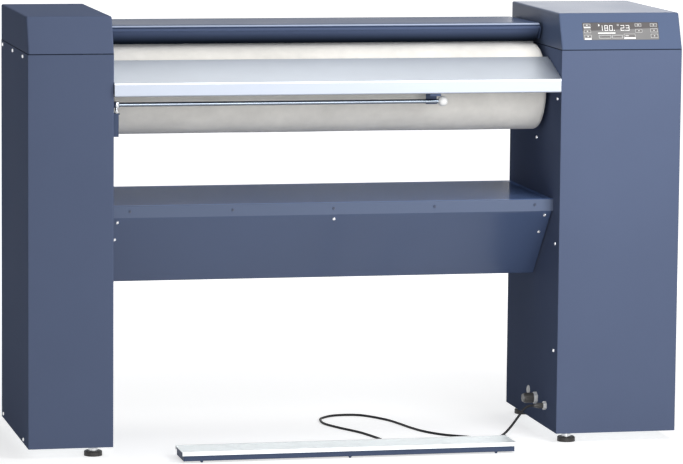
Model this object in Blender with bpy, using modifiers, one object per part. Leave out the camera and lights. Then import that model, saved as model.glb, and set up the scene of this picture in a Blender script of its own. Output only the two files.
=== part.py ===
# Flatwork rotary ironer.
# Two sheet-steel columns carry a padded roller, a heated trough behind it that tilts
# away, a feed table in front, a laundry shelf below and a foot bar on a cord.
# Metres, +X to the right, +Y to the rear, +Z up, origin on the floor under the middle.

import bpy
import bmesh
from math import acos, asin, atan2, ceil, cos, hypot, pi, radians, sin, tan
from mathutils import Matrix, Vector

for old in list(bpy.data.objects):
    bpy.data.objects.remove(old, do_unlink=True)

# Driving dimensions of the whole
overall_width = 1.554
column_depth = 0.462
left_width = 0.198
right_width = 0.294
floor_gap = 0.024
body_height = 0.912
hood_height = 0.0845
hood_setback = 0.035
bar_reach = 0.104

# Common clearances and stock
seat = 0.0003
overrun = 0.002
sheet = 0.0015
bend = 0.003
hood_bend = 0.004
cover_flange = 0.012
frame_thickness = 0.005
merge = 0.00001
flat_angle = radians(0.5)
crease_angle = radians(30)
roof_angle = radians(45)

# Facets of round shapes
round_sides = 24
plain_sides = 16
small_sides = 12
bolt_sides = 10
nut_sides = 6
stub_sides = 20
motor_sides = 18
clearance_sides = 32
quarter_steps = 3
corner_steps = 4
rib_steps = 5
lug_steps = 6
boss_steps = 7
link_steps = 9
lug_end_steps = 10
case_steps = 12
bead_steps = 14
tip_steps = 14
trough_steps = 18

# Roller
roller_set_back = 0.198
roller_height = 0.8353
cloth_radius = 0.1035
cloth_wall = 0.0025
padding_wall = 0.012
tube_wall = 0.004
roller_end_gap = 0.008
shaft_radius = 0.015
shaft_clearance = 0.002
disc_thickness = 0.010
disc_hub_radius = 0.032
disc_hub_length = 0.018
disc_recess = 0.004
shaft_tip = 0.004
shaft_chamfer = 0.0015
cloth_corner = 0.012
roller_sides = 40
cloth_tuck = 0.020

# Drive behind the right column's inner panel
gear_module = 0.003
gear_teeth = 45
pinion_teeth = 15
pressure_angle = radians(20)
backlash = 0.0002
centre_allowance = 0.0004
gear_width = 0.020
gear_web = 0.008
gear_hub_radius = 0.026
gear_rim = 0.007
gear_gap = 0.005
gear_hole_count = 5
gear_hole_share = 0.62
addendum_share = 0.9
dedendum_share = 1.25
flank_steps = 2
pinion_shaft_radius = 0.010
gearcase_depth = 0.030
gearcase_nose_radius = 0.032
motor_drop = 0.100
motor_radius = 0.045
motor_length = 0.140
motor_cover = 0.030
motor_rib = 0.002
motor_fin_count = 4
half_fin = 0.003
terminal_inset = 0.030
terminal_length = 0.060
terminal_width = 0.050
terminal_drop = 0.064

# Bearings
bearing_depth = 0.030
bearing_housing_radius = 0.034
bearing_flange_length = 0.132
bearing_flange_thickness = 0.010
bearing_bolt_spacing = 0.099
bearing_bolt_radius = 0.0055

# Heated trough and its tilt
trough_gap = 0.0005
trough_wall = 0.025
trough_top_angle = radians(72)
trough_bottom_angle = radians(-50)
rod_radius = 0.00425
rod_upper_angle = radians(52)
rod_lower_angle = radians(-27)
trough_tip_share = 0.35
trough_rib_count = 5
rib_wall = 0.006
rib_height = 0.012
rib_top_angle = radians(42)
rib_bottom_angle = radians(-14)
rib_taper = radians(6)
lug_thickness = 0.008
lug_radius = 0.024
lug_top_angle = radians(38)
lug_bottom_angle = radians(-14)
stub_radius = 0.012
stub_set_back = 0.370
stub_height = 0.880
pivot_set_back = 0.388
pivot_height = 0.578
tilt_max = radians(2.9)
slot_clearance = 0.0015
arm_thickness = 0.008
arm_width = 0.040
arm_gap = 0.003
arm_pin_radius = 0.008
arm_pin_collar = 0.013
arm_pin_head = 0.003

# Trough hood and finger guard
cover_gap = 0.006
cover_front = 0.182
cover_rear = 0.450
cover_lip_drop = 0.0054
cover_fall = 0.0040
cover_bottom = 0.765
cheek_reach = 0.012
cheek_rear = 0.131
cover_lip_reach = 0.0015
cover_lip_rise = 0.0018
guard_set_back = 0.1745
guard_height = 0.9768
guard_edge_set_back = 0.2088
guard_edge_height = 0.9425
guard_wall = 0.002
guard_bead = 0.004
guard_pin = 0.002
guard_side_gap = 0.001
hinge_margin = 0.007

# Lifting drive in the left column
lift_drop = 0.1073
lift_pin_radius = 0.004
lift_pin_clearance = 0.0008
lift_rod_radius = 0.006
lift_eye_width = 0.008
lift_eye_height = 0.020
lift_case_front = 0.060
lift_case_length = 0.110
lift_case_height = 0.060
lift_case_width = 0.045
lift_motor_radius = 0.026
lift_motor_length = 0.100
lift_rod_in_case = 0.060
lift_bore_spare = 0.010
lift_eye_gap = 0.0035

# Feed table
table_lip_reach = 0.007
table_lip_top = 0.8677
table_lip_height = 0.030
table_lip_lean = 0.0018
table_rear_set_back = 0.118
table_rear_height = 0.912
table_wall = 0.002
table_return = 0.011
table_bend = 0.002
table_hem_run = 0.010
table_hem_drop = 0.012
table_right_gap = 0.003
table_cheek_drop = 0.034
cheek_front_share = 0.06
cheek_rear_share = 0.90
cheek_front_drop_share = 0.80
cheek_rear_drop_share = 0.45

# Laundry rail
rail_set_back = 0.030
rail_height = 0.817
rail_radius = 0.005
rail_ball_radius = 0.0122
rail_ball_x_share = 0.7363
rail_ball_bore = 0.012
rail_pivot_inset = 0.0105
rail_block_radius = 0.0075
rail_block_height = 0.014
rail_block_chamfer = 0.0015
rail_pin_radius = 0.003
rail_pin_length = 0.006
rail_ear_drop = 0.020
rail_collar_radius = 0.0048
rail_collar_height = 0.004
rail_bracket_depth = 0.028
rail_bracket_height = 0.0535
rail_bracket_wall = 0.002
rail_bracket_width = 0.0135
rail_bracket_front = 0.010
rail_ear_reach = 0.0165
clip_width = 0.026
clip_wall = 0.0012
clip_lip = 0.005
clip_play = 0.0006
clip_front_inset = 0.001
clip_hook = 0.006

# Laundry shelf, apron and rear beam
shelf_front_set_back = 0.056
shelf_height = 0.5786
shelf_flange = 0.028
shelf_rear_gap = 0.0015
apron_foot_set_back = 0.2174
apron_foot_height = 0.3804
apron_return = 0.015
apron_end_gap = 0.004
apron_tongue = 0.022
apron_gap = 0.0005
bracket_leg = 0.025
bracket_wall = 0.003
bracket_front_gap = 0.030
bracket_rear_gap = 0.030
beam_set_back = 0.400
beam_drop = 0.0786
beam_width = 0.040
beam_depth = 0.030
beam_wall = 0.002

# Base frames and levelling feet
base_wall = 0.003
base_flange = 0.030
left_foot_inset = 0.042
right_foot_inset = 0.035
foot_front_inset = 0.037
foot_rear_inset = 0.032
foot_radius = 0.0215
foot_disc = 0.0115
foot_chamfer = 0.002
foot_stem_radius = 0.007
foot_nut_radius = 0.011
foot_nut_height = 0.006
foot_stem_top = 0.052

# Frame plates
plate_front_reach = 0.078
plate_rear_gap = 0.038
plate_top_gap = 0.012
plate_window_height = 0.140
plate_window_depth = 0.140
plate_window_radius = 0.030
plate_window_height_share = 0.33
plate_notch_inset = 0.024
plate_notch_width = 0.150
plate_notch_height = 0.110

# Control panel on the right hood
panel_left_inset = 0.0545
panel_width = 0.1853
panel_rise = 0.0247
panel_height = 0.0429
panel_corner = 0.002
board_margin = 0.008
board_thickness = 0.0016
board_part_height = 0.006
board_part_share = 0.55
display_share = 0.32
display_x_share = -0.10
driver_share = 0.16
driver_x_share = 0.28

# Glands on the right inner panel
small_gland_set_back = 0.0952
small_gland_height = 0.0766
large_gland_set_back = 0.1800
large_gland_height = 0.0816
plug_set_back = 0.2516
plug_height = 0.0894
gland_spigot = 0.010
gland_nut = 0.008
gland_chamfer = 0.0012
small_nut_radius = 0.0105
small_body_radius = 0.0068
small_gland_length = 0.030
large_nut_radius = 0.0145
large_body_radius = 0.0122
large_gland_length = 0.036
plug_radius = 0.011
plug_dome = 0.004
plug_rim = 0.0015
gland_spigot_share = 0.80

# Foot bar
bar_length = 0.792
bar_left_inset = 0.342
bar_depth = 0.096
bar_height = 0.0265
bar_lip_bottom = 0.017
bar_base_bottom = 0.004
bar_wall = 0.002
bar_base_inset = 0.003
bar_base_rear_inset = 0.0025
bar_front_wall_top = 0.0205
bar_top_wall = 0.0018
bar_rib_height = 0.0006
bar_rib_count = 16
bar_rib_margin = 0.008
bar_overhang = 0.003
bar_end_wall = 0.002
bar_pad_radius = 0.0042
bar_pad_tip = 0.0028
bar_pad_count = 3
bar_pad_inset = 0.046
bar_pad_edge = 0.0085
switch_width = 0.028
switch_depth = 0.016
switch_height = 0.0095
switch_button = 0.004
bar_gland_length = 0.024
bar_gland_radius = 0.0052
bar_gland_tip = 0.0042
bar_gland_height = 0.0100
bar_gland_collar_share = 0.25
bar_gland_skin = 0.0006
bar_gland_along = 0.5275

# Cord of the foot bar: route points chosen by hand, exit first
cord_radius = 0.003
cord_step = 0.018
route_splits = 24
cord_route = [
    (0.4527, -0.0838, 0.0766),
    (0.4420, -0.0838, 0.0766),
    (0.4290, -0.0840, 0.0690),
    (0.4140, -0.0850, 0.0500),
    (0.3950, -0.0870, 0.0262),
    (0.3760, -0.0895, 0.0090),
    (0.3560, -0.0915, 0.0034),
    (0.3230, -0.0880, 0.0033),
    (0.2819, -0.0610, 0.0033),
    (0.2400, -0.0262, 0.0033),
    (0.2080, 0.0230, 0.0033),
    (0.1887, 0.0793, 0.0033),
    (0.1740, 0.1400, 0.0033),
    (0.1545, 0.1994, 0.0033),
    (0.1073, 0.2684, 0.0033),
    (0.0459, 0.2757, 0.0033),
    (0.0061, 0.2430, 0.0033),
    (-0.0050, 0.2080, 0.0033),
    (-0.0041, 0.1613, 0.0033),
    (0.0198, 0.1006, 0.0033),
    (0.0539, 0.0318, 0.0033),
    (0.0770, -0.0453, 0.0033),
    (0.0880, -0.1000, 0.0036),
    (0.0920, -0.1350, 0.0080),
    (0.0925, -0.1500, 0.0100),
    (0.0925, -0.1649, 0.0100),
]

# Places worked out from the sizes
left_x = -overall_width / 2
right_x = overall_width / 2
left_inner_x = left_x + left_width
right_inner_x = right_x - right_width
gap_width = right_inner_x - left_inner_x
gap_middle_x = (right_inner_x + left_inner_x) / 2
front_y = -(column_depth + bar_reach) / 2 + bar_reach
rear_y = front_y + column_depth
middle_y = (front_y + rear_y) / 2
seam_z = floor_gap + body_height
roller_y = front_y + roller_set_back
roller_z = roller_height
roller_length = gap_width - 2 * roller_end_gap
pivot_y = front_y + pivot_set_back
pivot_z = pivot_height
lift_z = roller_z - lift_drop
stub_y = front_y + stub_set_back
stub_z = stub_height
guard_y = front_y + guard_set_back
guard_z = guard_height
rail_y = front_y + rail_set_back
rail_z = rail_height
rail_pivot_x = left_inner_x + rail_pivot_inset
ball_x = left_inner_x + gap_width * rail_ball_x_share

foot_rows = (front_y + foot_front_inset, rear_y - foot_rear_inset)

# Depths into a column, measured from its inner face
plate_depth = sheet + seat
plate_back = plate_depth + frame_thickness
bearing_back = plate_back + seat + bearing_depth
gear_start = bearing_back + gear_gap
gear_end = gear_start + gear_width
arm_start = plate_back + arm_gap
arm_end = arm_start + arm_thickness

lift_depth = arm_end + lift_eye_gap + lift_eye_width / 2
lift_point = (
    pivot_y + (stub_y - pivot_y) * (lift_z - pivot_z) / (stub_z - pivot_z),
    lift_z,
)

# Gear pair
gear_radius = gear_module * gear_teeth / 2
pinion_pitch_radius = gear_module * pinion_teeth / 2
gear_centres = gear_radius + pinion_pitch_radius + centre_allowance
pinion_y = roller_y
pinion_z = roller_z - gear_centres

# Standing turns of local axes: x, y, z of a flat outline onto the part's axes
ON_SIDE = (pi / 2, 0, pi / 2)
ON_FLOOR = (0, 0, 0)
ON_FRONT = (pi / 2, 0, 0)

parts = bpy.data.collections.new("flatwork_ironer")
bpy.context.scene.collection.children.link(parts)
guides = bpy.data.collections.new("cutters")
bpy.context.scene.collection.children.link(guides)


def finish(name, colour, roughness, metallic):
    """One Principled material for a finish of the real machine."""
    made = bpy.data.materials.new(name)
    made.use_nodes = True
    shader = made.node_tree.nodes["Principled BSDF"]
    shader.inputs["Base Color"].default_value = (*colour, 1)
    shader.inputs["Roughness"].default_value = roughness
    shader.inputs["Metallic"].default_value = metallic
    made.diffuse_color = (*colour, 1)
    return made


slate_paint = finish("slate_paint", (0.085, 0.115, 0.195), 0.45, 0.1)
dark_paint = finish("dark_paint", (0.045, 0.065, 0.120), 0.40, 0.1)
bright_sheet = finish("bright_sheet", (0.80, 0.84, 0.90), 0.28, 0.9)
raw_steel = finish("raw_steel", (0.52, 0.53, 0.55), 0.38, 1.0)
zinc_steel = finish("zinc_steel", (0.66, 0.68, 0.70), 0.42, 0.9)
cast_grey = finish("cast_grey", (0.30, 0.31, 0.33), 0.60, 0.6)
cast_aluminium = finish("cast_aluminium", (0.72, 0.73, 0.74), 0.45, 0.9)
cream_cloth = finish("cream_cloth", (0.80, 0.77, 0.69), 0.95, 0.0)
felt_padding = finish("felt_padding", (0.70, 0.66, 0.58), 1.0, 0.0)
white_plastic = finish("white_plastic", (0.86, 0.86, 0.84), 0.40, 0.0)
black_plastic = finish("black_plastic", (0.03, 0.03, 0.035), 0.45, 0.0)
smoked_glass = finish("smoked_glass", (0.17, 0.16, 0.15), 0.12, 0.0)
green_board = finish("green_board", (0.04, 0.20, 0.10), 0.50, 0.0)
cord_sheath = finish("cord_sheath", (0.05, 0.05, 0.055), 0.50, 0.0)


def place(piece, material, parent=None):
    """Put a finished piece in the parts collection, with its material and parent."""
    parts.objects.link(piece)
    piece.data.materials.clear()
    piece.data.materials.append(material)
    if parent is not None:
        piece.parent = parent
        piece.matrix_parent_inverse = Matrix.Translation(-parent.location)
    return piece


def axis_empty(name, location):
    """An empty on a joint's axis, which the joint's pieces are parented to."""
    empty = bpy.data.objects.new(name, None)
    empty.location = location
    parts.objects.link(empty)
    return empty


def as_guide(piece):
    """A cutter or a joined-in body stays out of the parts."""
    guides.objects.link(piece)
    piece.hide_render = True
    piece.display_type = "WIRE"
    return piece


def add_boolean(piece, tool, operation="DIFFERENCE"):
    step = piece.modifiers.new(operation.lower(), "BOOLEAN")
    step.operation = operation
    step.solver = "EXACT"
    step.object = tool


def cut(piece, *tools):
    for tool in tools:
        add_boolean(piece, as_guide(tool))


def join(piece, *tools):
    for tool in tools:
        add_boolean(piece, as_guide(tool), "UNION")


def from_bmesh(name, shape, location=(0, 0, 0), rotation=ON_FLOOR):
    data = bpy.data.meshes.new(name)
    shape.to_mesh(data)
    shape.free()
    piece = bpy.data.objects.new(name, data)
    piece.location = location
    piece.rotation_euler = rotation
    return piece


def block(name, low, high, round_edges=0, steps=2):
    """A box between two corners, with its edges rounded if a radius is given."""
    size = [top - bottom for bottom, top in zip(low, high)]
    middle = [(top + bottom) / 2 for bottom, top in zip(low, high)]
    shape = bmesh.new()
    bmesh.ops.create_cube(shape, size=1)
    bmesh.ops.scale(shape, vec=size, verts=shape.verts)
    piece = from_bmesh(name, shape, middle)
    if round_edges:
        soften(piece, round_edges, steps)
    return piece


def soften(piece, width, steps=2, angle=crease_angle):
    step = piece.modifiers.new("round", "BEVEL")
    step.width = width
    step.segments = steps
    step.limit_method = "ANGLE"
    step.angle_limit = angle


def thicken(piece, wall, offset=0):
    step = piece.modifiers.new("wall", "SOLIDIFY")
    step.thickness = wall
    step.offset = offset
    step.use_even_offset = True


def ring_points(centre, radius, count, start=0, sweep=2 * pi):
    """Points along an arc, or round a whole circle, of a flat outline."""
    whole = abs(sweep) >= 2 * pi
    spans = count if whole else count - 1
    turns = [start + sweep * index / spans for index in range(count)]
    return [(centre[0] + radius * cos(turn), centre[1] + radius * sin(turn)) for turn in turns]


def slab(name, outlines, thickness, location, rotation):
    """A flat plate from closed outlines: the first is its edge, the others are holes."""
    curve = bpy.data.curves.new(name, "CURVE")
    curve.dimensions = "2D"
    curve.fill_mode = "BOTH"
    curve.extrude = thickness / 2
    for outline in outlines:
        spline = curve.splines.new("POLY")
        spline.points.add(len(outline) - 1)
        for point, (across, up) in zip(spline.points, outline):
            point.co = (across, up, 0, 1)
        spline.use_cyclic_u = True
    piece = mesh_of_curve(name, curve)
    piece.location = location
    piece.rotation_euler = rotation
    return piece


def mesh_of_curve(name, curve):
    """A curve made a mesh with its caps welded; the curve itself is removed."""
    drawn = bpy.data.objects.new(name + "_curve", curve)
    bpy.context.scene.collection.objects.link(drawn)
    bpy.context.view_layer.update()
    evaluated = drawn.evaluated_get(bpy.context.evaluated_depsgraph_get())
    data = bpy.data.meshes.new_from_object(evaluated)
    data.name = name
    welded = bmesh.new()
    welded.from_mesh(data)
    bmesh.ops.remove_doubles(welded, verts=welded.verts, dist=merge)
    bmesh.ops.dissolve_limit(
        welded, angle_limit=flat_angle, verts=welded.verts, edges=welded.edges
    )
    welded.to_mesh(data)
    welded.free()
    piece = bpy.data.objects.new(name, data)
    piece.matrix_world = drawn.matrix_world
    bpy.data.objects.remove(drawn, do_unlink=True)
    return piece


def side_slab(name, outlines, x_from, x_to):
    """A plate whose outline is drawn in the part's y and z, between two places along x."""
    low, high = sorted((x_from, x_to))
    return slab(name, outlines, high - low, ((low + high) / 2, 0, 0), ON_SIDE)


def floor_slab(name, outlines, z_from, z_to):
    """A plate whose outline is drawn in the part's x and y, between two heights."""
    return slab(name, outlines, z_to - z_from, (0, 0, (z_from + z_to) / 2), ON_FLOOR)


def folded(name, path, length, location, rotation, wall, radius, steps=2):
    """A folded sheet: the path is the middle of its wall, drawn out along local z."""
    shape = bmesh.new()
    corners = [shape.verts.new((across, up, -length / 2)) for across, up in path]
    edges = [shape.edges.new(pair) for pair in zip(corners, corners[1:])]
    drawn = bmesh.ops.extrude_edge_only(shape, edges=edges)["geom"]
    moved = [item for item in drawn if isinstance(item, bmesh.types.BMVert)]
    bmesh.ops.translate(shape, vec=(0, 0, length), verts=moved)
    piece = from_bmesh(name, shape, location, rotation)
    if radius:
        soften(piece, radius, steps)
    thicken(piece, wall)
    return piece


def side_fold(name, path, x_from, x_to, wall=sheet, radius=bend, steps=2):
    low, high = sorted((x_from, x_to))
    middle = ((low + high) / 2, 0, 0)
    return folded(name, path, high - low, middle, ON_SIDE, wall, radius, steps)


def upright_fold(name, path, z_from, z_to, wall=sheet, radius=bend, steps=2):
    middle = (0, 0, (z_from + z_to) / 2)
    return folded(name, path, z_to - z_from, middle, ON_FLOOR, wall, radius, steps)


def turned(name, profile, location, rotation, sides=round_sides):
    """A turned body. The profile gives radius and height; a solid one starts and ends
    on the axis, and a ring keeps clear of it all the way round."""
    outline = list(profile)
    area = sum(a[0] * b[1] - b[0] * a[1] for a, b in zip(outline, outline[1:] + outline[:1]))
    if area > 0:
        outline.reverse()
    shape = bmesh.new()
    corners = [shape.verts.new((radius, 0, height)) for radius, height in outline]
    for pair in zip(corners, corners[1:]):
        shape.edges.new(pair)
    if min(radius for radius, height in outline) > 0:
        shape.edges.new((corners[-1], corners[0]))
    piece = from_bmesh(name, shape, location, rotation)
    step = piece.modifiers.new("turn", "SCREW")
    step.axis = "Z"
    step.steps = sides
    step.render_steps = sides
    step.use_merge_vertices = True
    step.merge_threshold = merge
    step.use_smooth_shade = True
    return piece


def round_bar(name, radius, start, end, sides=plain_sides):
    """A plain round bar, or the bore that it leaves, between two points."""
    start, end = Vector(start), Vector(end)
    along = end - start
    shape = bmesh.new()
    bmesh.ops.create_cone(
        shape, cap_ends=True, segments=sides, radius1=radius, radius2=radius, depth=along.length
    )
    return from_bmesh(name, shape, (start + end) / 2, along.to_track_quat("Z", "Y").to_euler())


def rod(name, points, radius, resolution=2):
    """A rod or cord: a bevelled curve through the points, made a mesh."""
    curve = bpy.data.curves.new(name, "CURVE")
    curve.dimensions = "3D"
    curve.bevel_depth = radius
    curve.bevel_resolution = resolution
    curve.use_fill_caps = True
    spline = curve.splines.new("POLY")
    spline.points.add(len(points) - 1)
    for point, place_of in zip(spline.points, points):
        point.co = (*place_of, 1)
    return mesh_of_curve(name, curve)


def link_outline(first, first_radius, second, second_radius, steps=link_steps):
    """The outline round two circles, joined by their outer tangents."""
    across, up = second[0] - first[0], second[1] - first[1]
    heading = atan2(up, across)
    lean = acos((first_radius - second_radius) / hypot(across, up))
    far = ring_points(second, second_radius, steps, heading - lean, 2 * lean)
    near = ring_points(first, first_radius, steps, heading + lean, 2 * (pi - lean))
    return far + near


def rounded_outline(low, high, radius, steps=corner_steps):
    """A rectangle between two corners with quarter-round corners."""
    corners = [
        (high[0] - radius, high[1] - radius, 0),
        (low[0] + radius, high[1] - radius, pi / 2),
        (low[0] + radius, low[1] + radius, pi),
        (high[0] - radius, low[1] + radius, 3 * pi / 2),
    ]
    outline = []
    for across, up, start in corners:
        outline += ring_points((across, up), radius, steps, start, pi / 2)
    return outline


def inner_face(side):
    """The inner face of a column; side is -1 for the left one and 1 for the right one."""
    return right_inner_x if side > 0 else left_inner_x


def deep(side, depth):
    return inner_face(side) + side * depth


def turned_in(name, profile, side, y, z, sides=round_sides):
    """A turned body along x, its heights measured into a column from the inner face."""
    return turned(name, profile, (inner_face(side), y, z), (0, side * pi / 2, 0), sides)


half_sheet = sheet / 2


def tilted(y, z, angle):
    """Where a point of the trough lies once the trough has tilted back by an angle."""
    across, up = y - pivot_y, z - pivot_z
    return (
        pivot_y + across * cos(angle) + up * sin(angle),
        pivot_z - across * sin(angle) + up * cos(angle),
    )


def stub_slot(side, wall_from, wall_to):
    """The slot in which a trough stub travels, cut through the walls at these depths."""
    room = stub_radius + slot_clearance
    outline = link_outline((stub_y, stub_z), room, tilted(stub_y, stub_z, tilt_max), room)
    return side_slab("stub_slot", [outline], deep(side, wall_from), deep(side, wall_to))


def shaft_opening(side, wall_from, wall_to):
    ends = [(deep(side, depth), roller_y, roller_z) for depth in (wall_from, wall_to)]
    return round_bar("shaft_opening", shaft_radius + shaft_clearance, *ends)


def casing(name, closed_x, open_x):
    """Front, one side and rear of a column, folded from one sheet."""
    wall_x = closed_x + (half_sheet if open_x > closed_x else -half_sheet)
    front, rear = front_y + half_sheet, rear_y - half_sheet
    path = [(open_x, front), (wall_x, front), (wall_x, rear), (open_x, rear)]
    return upright_fold(name, path, floor_gap, seam_z)


def side_cover(name, face_x, inward):
    """The panel that closes a casing's open side, with a flange at each upright edge."""
    wall_x = face_x + inward * half_sheet
    flange_x = face_x + inward * cover_flange
    front = front_y + sheet + seat + half_sheet
    rear = rear_y - sheet - seat - half_sheet
    path = [(flange_x, front), (wall_x, front), (wall_x, rear), (flange_x, rear)]
    return upright_fold(name, path, floor_gap, seam_z)


def column_openings(piece, side):
    cut(piece, shaft_opening(side, -overrun, sheet + overrun))
    cut(piece, stub_slot(side, -overrun, sheet + overrun))


def make_left_casing():
    piece = casing("left_casing", left_inner_x, left_x)
    column_openings(piece, -1)
    place(piece, slate_paint)
    place(side_cover("left_side_panel", left_x, 1), slate_paint)


def make_right_casing():
    place(casing("right_casing", right_x, right_inner_x), slate_paint)
    piece = side_cover("right_inner_panel", right_inner_x, 1)
    column_openings(piece, 1)
    place(piece, slate_paint)


def hood(name, x_from, x_to):
    """A column's top cover: its front slopes back, and it is open below."""
    rim = sheet * cos(atan2(hood_height, hood_setback))
    low_z, high_z = seam_z + seat + rim, seam_z + hood_height
    shape = bmesh.new()
    bmesh.ops.create_cube(shape, size=1)
    size = (x_to - x_from, column_depth, high_z - low_z)
    bmesh.ops.scale(shape, vec=size, verts=shape.verts)
    middle = ((x_from + x_to) / 2, middle_y, (low_z + high_z) / 2)
    bmesh.ops.translate(shape, vec=middle, verts=shape.verts)
    edge = [point for point in shape.verts if point.co.y < middle_y and point.co.z > middle[2]]
    bmesh.ops.translate(shape, vec=(0, hood_setback, 0), verts=edge)
    below = [face for face in shape.faces if face.normal.z < -cos(roof_angle)]
    bmesh.ops.delete(shape, geom=below, context="FACES_ONLY")
    piece = from_bmesh(name, shape)
    soften(piece, hood_bend, quarter_steps)
    thicken(piece, sheet, -1)
    return piece


def on_slope(x, rise, depth):
    """A place on the right hood's slope: up from the seam and in from its outer face."""
    lean = atan2(hood_height, hood_setback)
    y = front_y + rise * cos(lean) + depth * sin(lean)
    return (x, y, seam_z + rise * sin(lean) - depth * cos(lean))


def slope_plate(name, width, height, corner, thickness, depth):
    """A plate that lies along the slope, centred on the control panel."""
    outline = rounded_outline((-width / 2, -height / 2), (width / 2, height / 2), corner)
    middle_x = right_inner_x + panel_left_inset + panel_width / 2
    middle = on_slope(middle_x, panel_rise + panel_height / 2, depth + thickness / 2)
    return slab(name, [outline], thickness, middle, (atan2(hood_height, hood_setback), 0, 0))


def make_hoods():
    place(hood("left_hood", left_x, left_inner_x), slate_paint)
    piece = hood("right_hood", right_inner_x, right_x)
    window = slope_plate(
        "panel_window", panel_width + 2 * seat, panel_height + 2 * seat, panel_corner,
        sheet + 2 * overrun, -overrun,
    )
    cut(piece, window)
    place(piece, slate_paint)


def make_control_panel():
    glass = slope_plate("control_panel", panel_width, panel_height, panel_corner, sheet, 0)
    place(glass, smoked_glass)
    board_width, board_height = panel_width + 2 * board_margin, panel_height + 2 * board_margin
    board = slope_plate(
        "control_board", board_width, board_height, panel_corner, board_thickness, sheet + seat
    )
    shares = ((display_share, display_x_share), (driver_share, driver_x_share))
    for width_share, x_share in shares:
        chip = slope_plate(
            "board_part", board_width * width_share, board_height * board_part_share,
            panel_corner, board_part_height, sheet + seat + board_thickness / 2,
        )
        chip.location.x += board_width * x_share
        join(board, chip)
    place(board, green_board)


def make_base_frame(side, name, foot_inset):
    outer_x = right_x if side > 0 else left_x
    front = front_y + 2 * (sheet + seat) + base_wall / 2
    rear = rear_y - 2 * (sheet + seat) - base_wall / 2
    low, high = floor_gap + base_wall / 2, floor_gap + base_flange
    path = [(front, high), (front, low), (rear, low), (rear, high)]
    inner_x, far_x = deep(side, sheet + bend), outer_x - side * (sheet + bend)
    frame = side_fold(name, path, inner_x, far_x, base_wall, base_wall)
    for y in foot_rows:
        x = deep(side, foot_inset)
        ends = ((x, y, floor_gap - overrun), (x, y, floor_gap + base_wall + overrun))
        cut(frame, round_bar("stem_hole", foot_stem_radius + seat, *ends))
    place(frame, zinc_steel)


def make_foot(name, x, y):
    axis = axis_empty(name + "_axis", (x, y, 0))
    nut_top = foot_disc + foot_nut_height
    profile = [
        (0, foot_stem_top),
        (foot_stem_radius, foot_stem_top),
        (foot_stem_radius, nut_top),
        (foot_nut_radius, nut_top),
        (foot_nut_radius, foot_disc),
        (foot_radius - foot_chamfer, foot_disc),
        (foot_radius, foot_disc - foot_chamfer),
        (foot_radius, 0),
        (0, 0),
    ]
    place(turned(name, profile, (x, y, 0), ON_FLOOR, plain_sides), black_plastic, axis)


def make_feet():
    for column, side, inset in (("left", -1, left_foot_inset), ("right", 1, right_foot_inset)):
        for row, y in zip(("front", "rear"), foot_rows):
            make_foot(f"levelling_foot_{row}_{column}", deep(side, inset), y)


def make_frame_plate(side, name):
    """The thick plate behind an inner face, which carries bearing, pin and drive."""
    low = (roller_y - plate_front_reach, floor_gap + base_wall + seat)
    high = (rear_y - plate_rear_gap, seam_z - plate_top_gap)
    middle = ((low[0] + high[0]) / 2, low[1] + (high[1] - low[1]) * plate_window_height_share)
    half_y, half_z = plate_window_depth / 2, plate_window_height / 2
    window = rounded_outline(
        (middle[0] - half_y, middle[1] - half_z),
        (middle[0] + half_y, middle[1] + half_z),
        plate_window_radius,
    )
    pin_hole = ring_points((pivot_y, pivot_z), arm_pin_radius + seat, plain_sides)
    edge = rounded_outline(low, high, bend)
    plate = side_slab(name, [edge, window, pin_hole], deep(side, plate_depth), deep(side, plate_back))
    near, far = sorted((deep(side, plate_depth - overrun), deep(side, plate_back + overrun)))
    notch_y = low[0] + plate_notch_inset
    notch_low = (near, notch_y, low[1] - overrun)
    notch_high = (far, notch_y + plate_notch_width, low[1] + plate_notch_height)
    cut(plate, block("cable_notch", notch_low, notch_high))
    cut(plate, shaft_opening(side, plate_depth - overrun, plate_back + overrun))
    cut(plate, stub_slot(side, plate_depth - overrun, plate_back + overrun))
    place(plate, zinc_steel)


def make_bearing(side, name):
    """A flanged bearing: an oval flange with two bolt holes, and its round housing."""
    bore = shaft_radius + seat
    start = plate_back + seat
    bolts = [(roller_y + end * bearing_bolt_spacing / 2, roller_z) for end in (-1, 1)]
    boss = (bearing_flange_length - bearing_bolt_spacing) / 2
    outline = link_outline(bolts[0], boss, bolts[1], boss, boss_steps)
    flange_end = start + bearing_flange_thickness
    flange = side_slab(name, [outline], deep(side, start), deep(side, flange_end))
    lip = bearing_housing_radius - bearing_flange_thickness / 2
    profile = [
        (0, start + seat),
        (bearing_housing_radius, start + seat),
        (bearing_housing_radius, bearing_back - bearing_flange_thickness / 2),
        (lip, bearing_back),
        (0, bearing_back),
    ]
    across = [deep(side, depth) for depth in (start - overrun, bearing_back + overrun)]
    for y, z in bolts:
        cut(flange, round_bar("bolt_hole", bearing_bolt_radius, *[(x, y, z) for x in across], bolt_sides))
    join(flange, turned_in("housing", profile, side, roller_y, roller_z))
    cut(flange, round_bar("bore", bore, *[(x, roller_y, roller_z) for x in across], round_sides))
    place(flange, cast_grey)


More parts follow.
